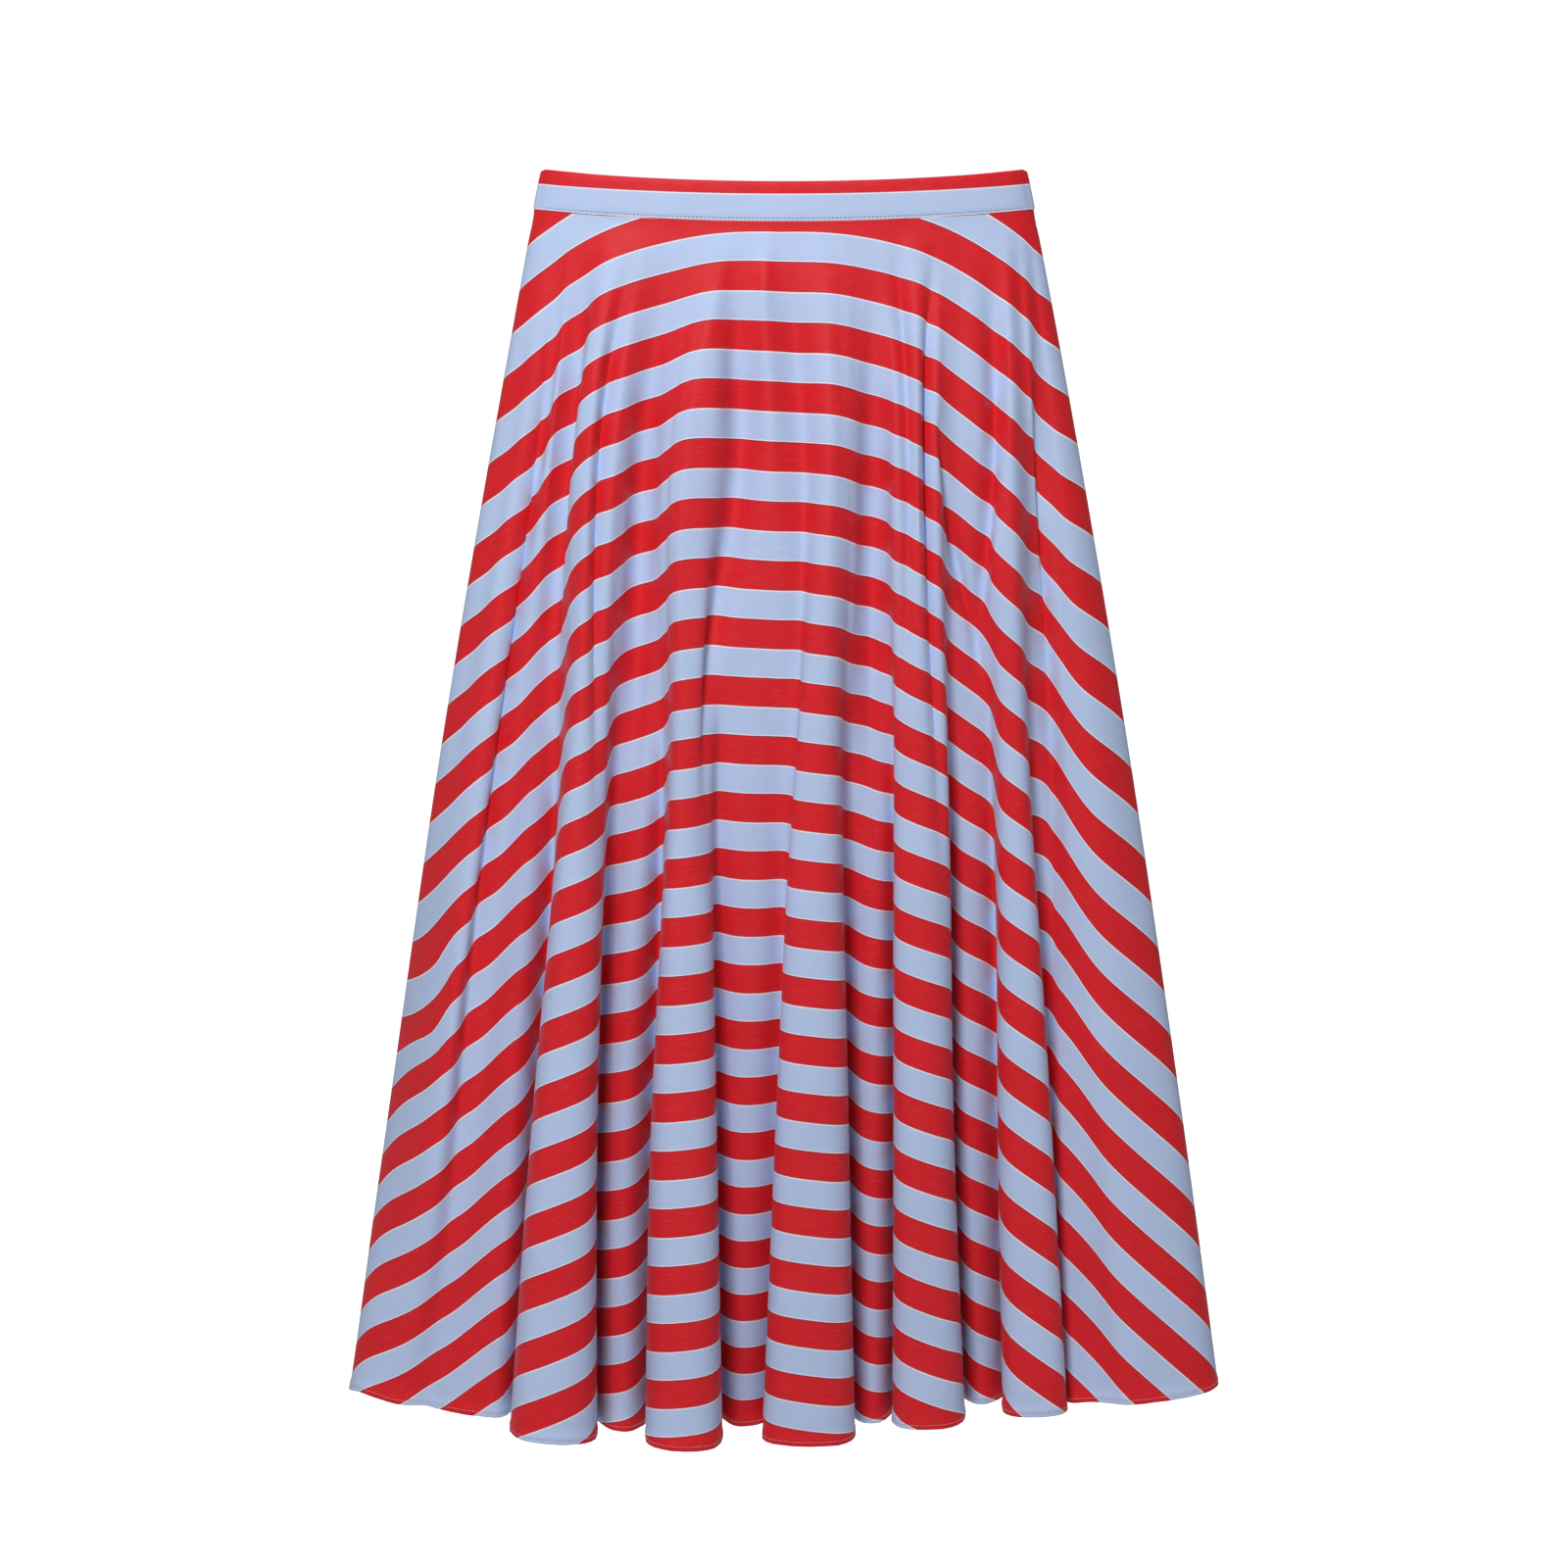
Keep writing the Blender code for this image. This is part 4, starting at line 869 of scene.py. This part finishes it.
def striped_cotton(name, first_boundary, pitch):
    """Woven cotton with straight stripes across the cut.

    The blue stripes lie below the even boundaries. Each has a thin white line inside both
    its edges, and the red beside that line is dark.
    """
    material, tree, shader = new_material(name, COTTON_FINISH)
    cut, across, down = place_on_cut(tree)
    slub = noise(tree, cut, SLUB_SIZE)
    wander = maths(tree, "MULTIPLY", maths(tree, "SUBTRACT", noise(tree, cut, EDGE_GRAIN), 0.5),
                   THREAD_SHIFT)
    shifted = maths(tree, "ADD", down, wander)
    # The number of stripes from the first boundary, and the distance to the nearest boundary.
    count = maths(tree, "DIVIDE", maths(tree, "SUBTRACT", shifted, first_boundary), pitch)
    is_blue = maths(tree, "LESS_THAN", maths(tree, "FRACT", maths(tree, "MULTIPLY", count, 0.5)), 0.5)
    share = maths(tree, "FRACT", count)
    nearest = maths(tree, "MULTIPLY",
                    maths(tree, "MINIMUM", share, maths(tree, "SUBTRACT", 1.0, share)), pitch)
    # The same distance, positive in the blue and negative in the red.
    into_blue = maths(tree, "MULTIPLY", nearest, either(tree, is_blue, -1.0, 1.0))
    # Near a blue stripe's top boundary: past it in the blue, before it in the red.
    upper = maths(tree, "COMPARE", maths(tree, "LESS_THAN", share, 0.5), is_blue, 0.5)
    line = either(tree, upper, LINE_WIDTH_BELOW, LINE_WIDTH_ABOVE)
    dark = either(tree, upper, DARK_WIDTH_BELOW, DARK_WIDTH_ABOVE)

    streak = step_between(tree, slub, *SLUB_SHOWS)
    colour = mix(tree, streak, RED, RED_SLUB)
    blue = mix(tree, streak, BLUE, BLUE_SLUB)
    # Each colour starts at its own place on the way from the red into the blue.
    for place, following in ((maths(tree, "ADD", into_blue, dark), LINE_DARK),
                             (into_blue, LINE_WHITE),
                             (maths(tree, "SUBTRACT", into_blue, line), blue)):
        colour = mix(tree, step_between(tree, place, -LINE_BLUR, LINE_BLUR), colour, following)
    # Fine flecks and soft clouds in the tone of the whole cloth.
    fleck = noise(tree, cut, FLECK_SIZE, 1.0)
    cloud = noise(tree, cut, CLOUD_SIZE)
    tone = maths(tree, "MULTIPLY_ADD", fleck, FLECK_TONE,
                 maths(tree, "MULTIPLY_ADD", cloud, CLOUD_TONE, DARKEST_TONE))
    shade = node(tree, "ShaderNodeVectorMath", {0: colour, "Scale": tone}, operation="SCALE")
    feed(tree, shader.inputs["Base Color"], shade.outputs[0])

    weave = maths(tree, "MULTIPLY",
                  maths(tree, "SINE", maths(tree, "MULTIPLY", across, math.pi / THREAD_PITCH)),
                  maths(tree, "SINE", maths(tree, "MULTIPLY", down, math.pi / THREAD_PITCH)))
    relief = maths(tree, "MULTIPLY_ADD", slub, SLUB_HEIGHT, weave)
    add_relief(tree, shader, relief, WEAVE_HEIGHT, WEAVE_STRENGTH)
    return material


def thread(name, colour):
    """Twisted sewing thread."""
    material, tree, shader = new_material(name, THREAD_FINISH)
    twist = grain_noise(tree, THREAD_GRAIN)
    dark = tuple(part * THREAD_DARKER for part in colour)
    feed(tree, shader.inputs["Base Color"], mix(tree, twist, dark, colour))
    add_relief(tree, shader, twist, THREAD_HEIGHT)
    return material


def woven_tape(name):
    """The zip's tape: a fine herringbone in light blue."""
    material, tree, shader = new_material(name, TAPE_FINISH)
    _, across, down = place_on_cut(tree)
    slant = maths(tree, "PINGPONG", across, TAPE_RIB_WIDTH)
    rib = maths(tree, "SINE", maths(tree, "MULTIPLY", maths(tree, "ADD", down, slant),
                                    2 * math.pi / TAPE_RIB_PITCH))
    share = step_between(tree, rib, -1.0, 1.0)
    feed(tree, shader.inputs["Base Color"], mix(tree, share, TAPE_DARK, TAPE_LIGHT))
    add_relief(tree, shader, rib, TAPE_RIB_HEIGHT)
    return material


def enamel(name, colour, worn):
    """Light blue enamel over metal: faintly mottled, and worn to bright metal at the edges."""
    material, tree, shader = new_material(name, ENAMEL_FINISH)
    mottle = grain_noise(tree, ENAMEL_GRAIN)
    edge = step_between(tree, node(tree, "ShaderNodeNewGeometry").outputs["Pointiness"], *WORN_EDGE)
    tone = mix(tree, mottle, tuple(part * ENAMEL_DARKER for part in colour), colour)
    wear = maths(tree, "MULTIPLY", edge, step_between(tree, mottle, *WORN_PATCH))
    feed(tree, shader.inputs["Base Color"], mix(tree, wear, tone, worn))
    add_relief(tree, shader, mottle, ENAMEL_HEIGHT)
    return material


# ---- the stage ----
CAMERA_DISTANCE = 3.0
CAMERA_HEIGHT = 0.136
CAMERA_PITCH = 10.5  # degrees down
CAMERA_LENS = 96.68  # mm
SENSOR_WIDTH = 36.0  # mm
FLOOR_LEVEL = -1.25
FLOOR_REACH = 30.0  # distance to the floor's edges
FLOOR_GLOW = 1.0  # how far the floor is lifted to white
SKY_LIGHT = 0.26  # the light that the white surroundings give

# Square area lights, turned to LIGHT_TARGET: name, place, side in metres and power in watts.
LIGHT_TARGET = (0.0, 0.0, -0.35)
LIGHTS = (("key", (-0.6, -2.3, 1.5), 0.7, 58.0), ("back light", (0.8, 2.6, 1.5), 1.2, 66.0))


def add_camera():
    data = bpy.data.cameras.new("camera")
    data.lens = CAMERA_LENS
    data.sensor_width = SENSOR_WIDTH
    camera = add_object("camera", data)
    camera.location = (0.0, -CAMERA_DISTANCE, CAMERA_HEIGHT)
    camera.rotation_euler = (math.radians(90.0 - CAMERA_PITCH), 0.0, 0.0)
    bpy.context.scene.camera = camera
    bpy.context.scene.view_settings.view_transform = "Standard"


def add_area_light(name, place, side, power):
    data = bpy.data.lights.new(name, "AREA")
    data.shape = "RECTANGLE"
    data.size = data.size_y = side
    data.energy = power
    thing = add_object(name, data)
    thing.location = place
    way = np.array(LIGHT_TARGET) - np.array(place)
    flat = math.hypot(way[0], way[1])
    thing.rotation_euler = (math.atan2(flat, -way[2]), 0.0, math.atan2(-way[0], way[1]))


def add_stage():
    world = bpy.data.worlds.new("studio")
    bpy.context.scene.world = world
    world.use_nodes = True
    tree = world.node_tree
    background = tree.nodes["Background"]
    feed(tree, background.inputs["Color"], (1.0, 1.0, 1.0))
    # The background and the floor are seen white, and light the skirt more softly than that.
    seen = node(tree, "ShaderNodeLightPath").outputs["Is Camera Ray"]
    feed(tree, background.inputs["Strength"], either(tree, seen, SKY_LIGHT, 1.0))
    material, tree, shader = new_material("pale floor", FLOOR_FINISH)
    seen = node(tree, "ShaderNodeLightPath").outputs["Is Camera Ray"]
    feed(tree, shader.inputs["Emission Strength"], maths(tree, "MULTIPLY", seen, FLOOR_GLOW))
    corners = [(x * FLOOR_REACH, y * FLOOR_REACH, FLOOR_LEVEL)
               for x, y in ((-1, -1), (1, -1), (1, 1), (-1, 1))]
    floor = add_mesh("floor", corners, [(0, 1, 2, 3)], material)
    for light in LIGHTS:
        add_area_light(*light)


# ---- the skirt ----
CUT_AREA_FRONT = 0.986  # square metres, the ring sector of 94.7 degrees
CUT_AREA_BACK = 0.4925  # each of the two sectors of 47.3 degrees
FLAT_FRONT = (1.65, 0.965)  # the rectangle that the cut is laid out on
FLAT_BACK = (0.90, 0.92)


def place(piece, node_name, slot, body="skirt"):
    """Puts a piece on its body, in place of the CAD node. The slot is not used."""
    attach(piece, body)
    if node_name:
        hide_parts(node_name)
    return piece


def main():
    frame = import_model()
    add_camera()
    add_stage()
    stripes = striped_cotton("striped cotton", FIRST_BOUNDARY, STRIPE_PITCH)
    # On the band's lower edge the blue's white line and dark edge are partly the pattern and partly a
    # painted highlight along the fold and painted shade in the waist seam.
    band_stripes = striped_cotton("striped cotton of the band", BAND_RED_STRIP, BAND_BLUE_STRIP_TO_PAINTED_EDGE)
    band_thread = thread("blue sewing thread", BAND_THREAD)
    hem_thread = thread("pale sewing thread", HEM_THREAD)

    front = panel_surface(FRONT_FOLDS, FRONT)
    back = panel_surface(BACK_FOLDS, BACK)
    last_front, last_back = len(FRONT_FOLDS) - 1, len(BACK_FOLDS) - 1
    centre_back = place_of_angle(BACK_FOLDS, 0.0)
    for name, panel, creases, first, last, flat, area in (
            ("front", front, FRONT_CREASES, 0, last_front, FLAT_FRONT, CUT_AREA_FRONT),
            ("back_left", back, BACK_CREASES, 0, centre_back, FLAT_BACK, CUT_AREA_BACK),
            ("back_right", back, BACK_CREASES, centre_back, last_back, FLAT_BACK, CUT_AREA_BACK)):
        cloth = place(add_cloth(name + "_cloth", panel, creases, first, last, stripes),
                      "skirt_" + name, "stripe_cotton")
        line, normals = hem_stitch_line(panel, creases, first + NEAREST_COLUMN, last - NEAREST_COLUMN)
        stitches = place(add_stitches(name + "_hem_stitches", line, normals, HEM_STITCH,
                                      HEM_STITCH_RADIUS, hem_thread), None, "stripe_cotton")

    for name, side, first, last in (("waistband_front", FRONT, 0.0, 1.0),
                                    ("waistband_back_left", BACK, 0.0, 0.5),
                                    ("waistband_back_right", BACK, 0.5, 1.0)):
        place(add_band(name + "_cloth", side, first, last, band_stripes), name, "band_cotton")
        line, normals = band_stitch_line(side, first, last)
        place(add_stitches(name + "_stitches", line, normals, BAND_STITCH, BAND_STITCH_RADIUS, band_thread),
              None, "band_cotton")

    tape_cloth = woven_tape("woven zip tape")
    for name, low, high in (("zip_tape_left", -TAPE_HALF_WIDTH, -SEAM_GAP / 2),
                            ("zip_tape_right", SEAM_GAP / 2, TAPE_HALF_WIDTH)):
        place(add_tape(name, back, low, high, tape_cloth), "zip_tape", "zip_tape")
    place(add_teeth("zip_coil", back, enamel("blue coil", COIL_BLUE, COIL_BLUE)), None, "zip_tape")
    metal = enamel("blue enamel", ENAMEL_BLUE, WORN_METAL)
    for name in ("zip_slider", "zip_pull"):
        for slot in frame["nodes"][name].material_slots:
            slot.material = metal


main()
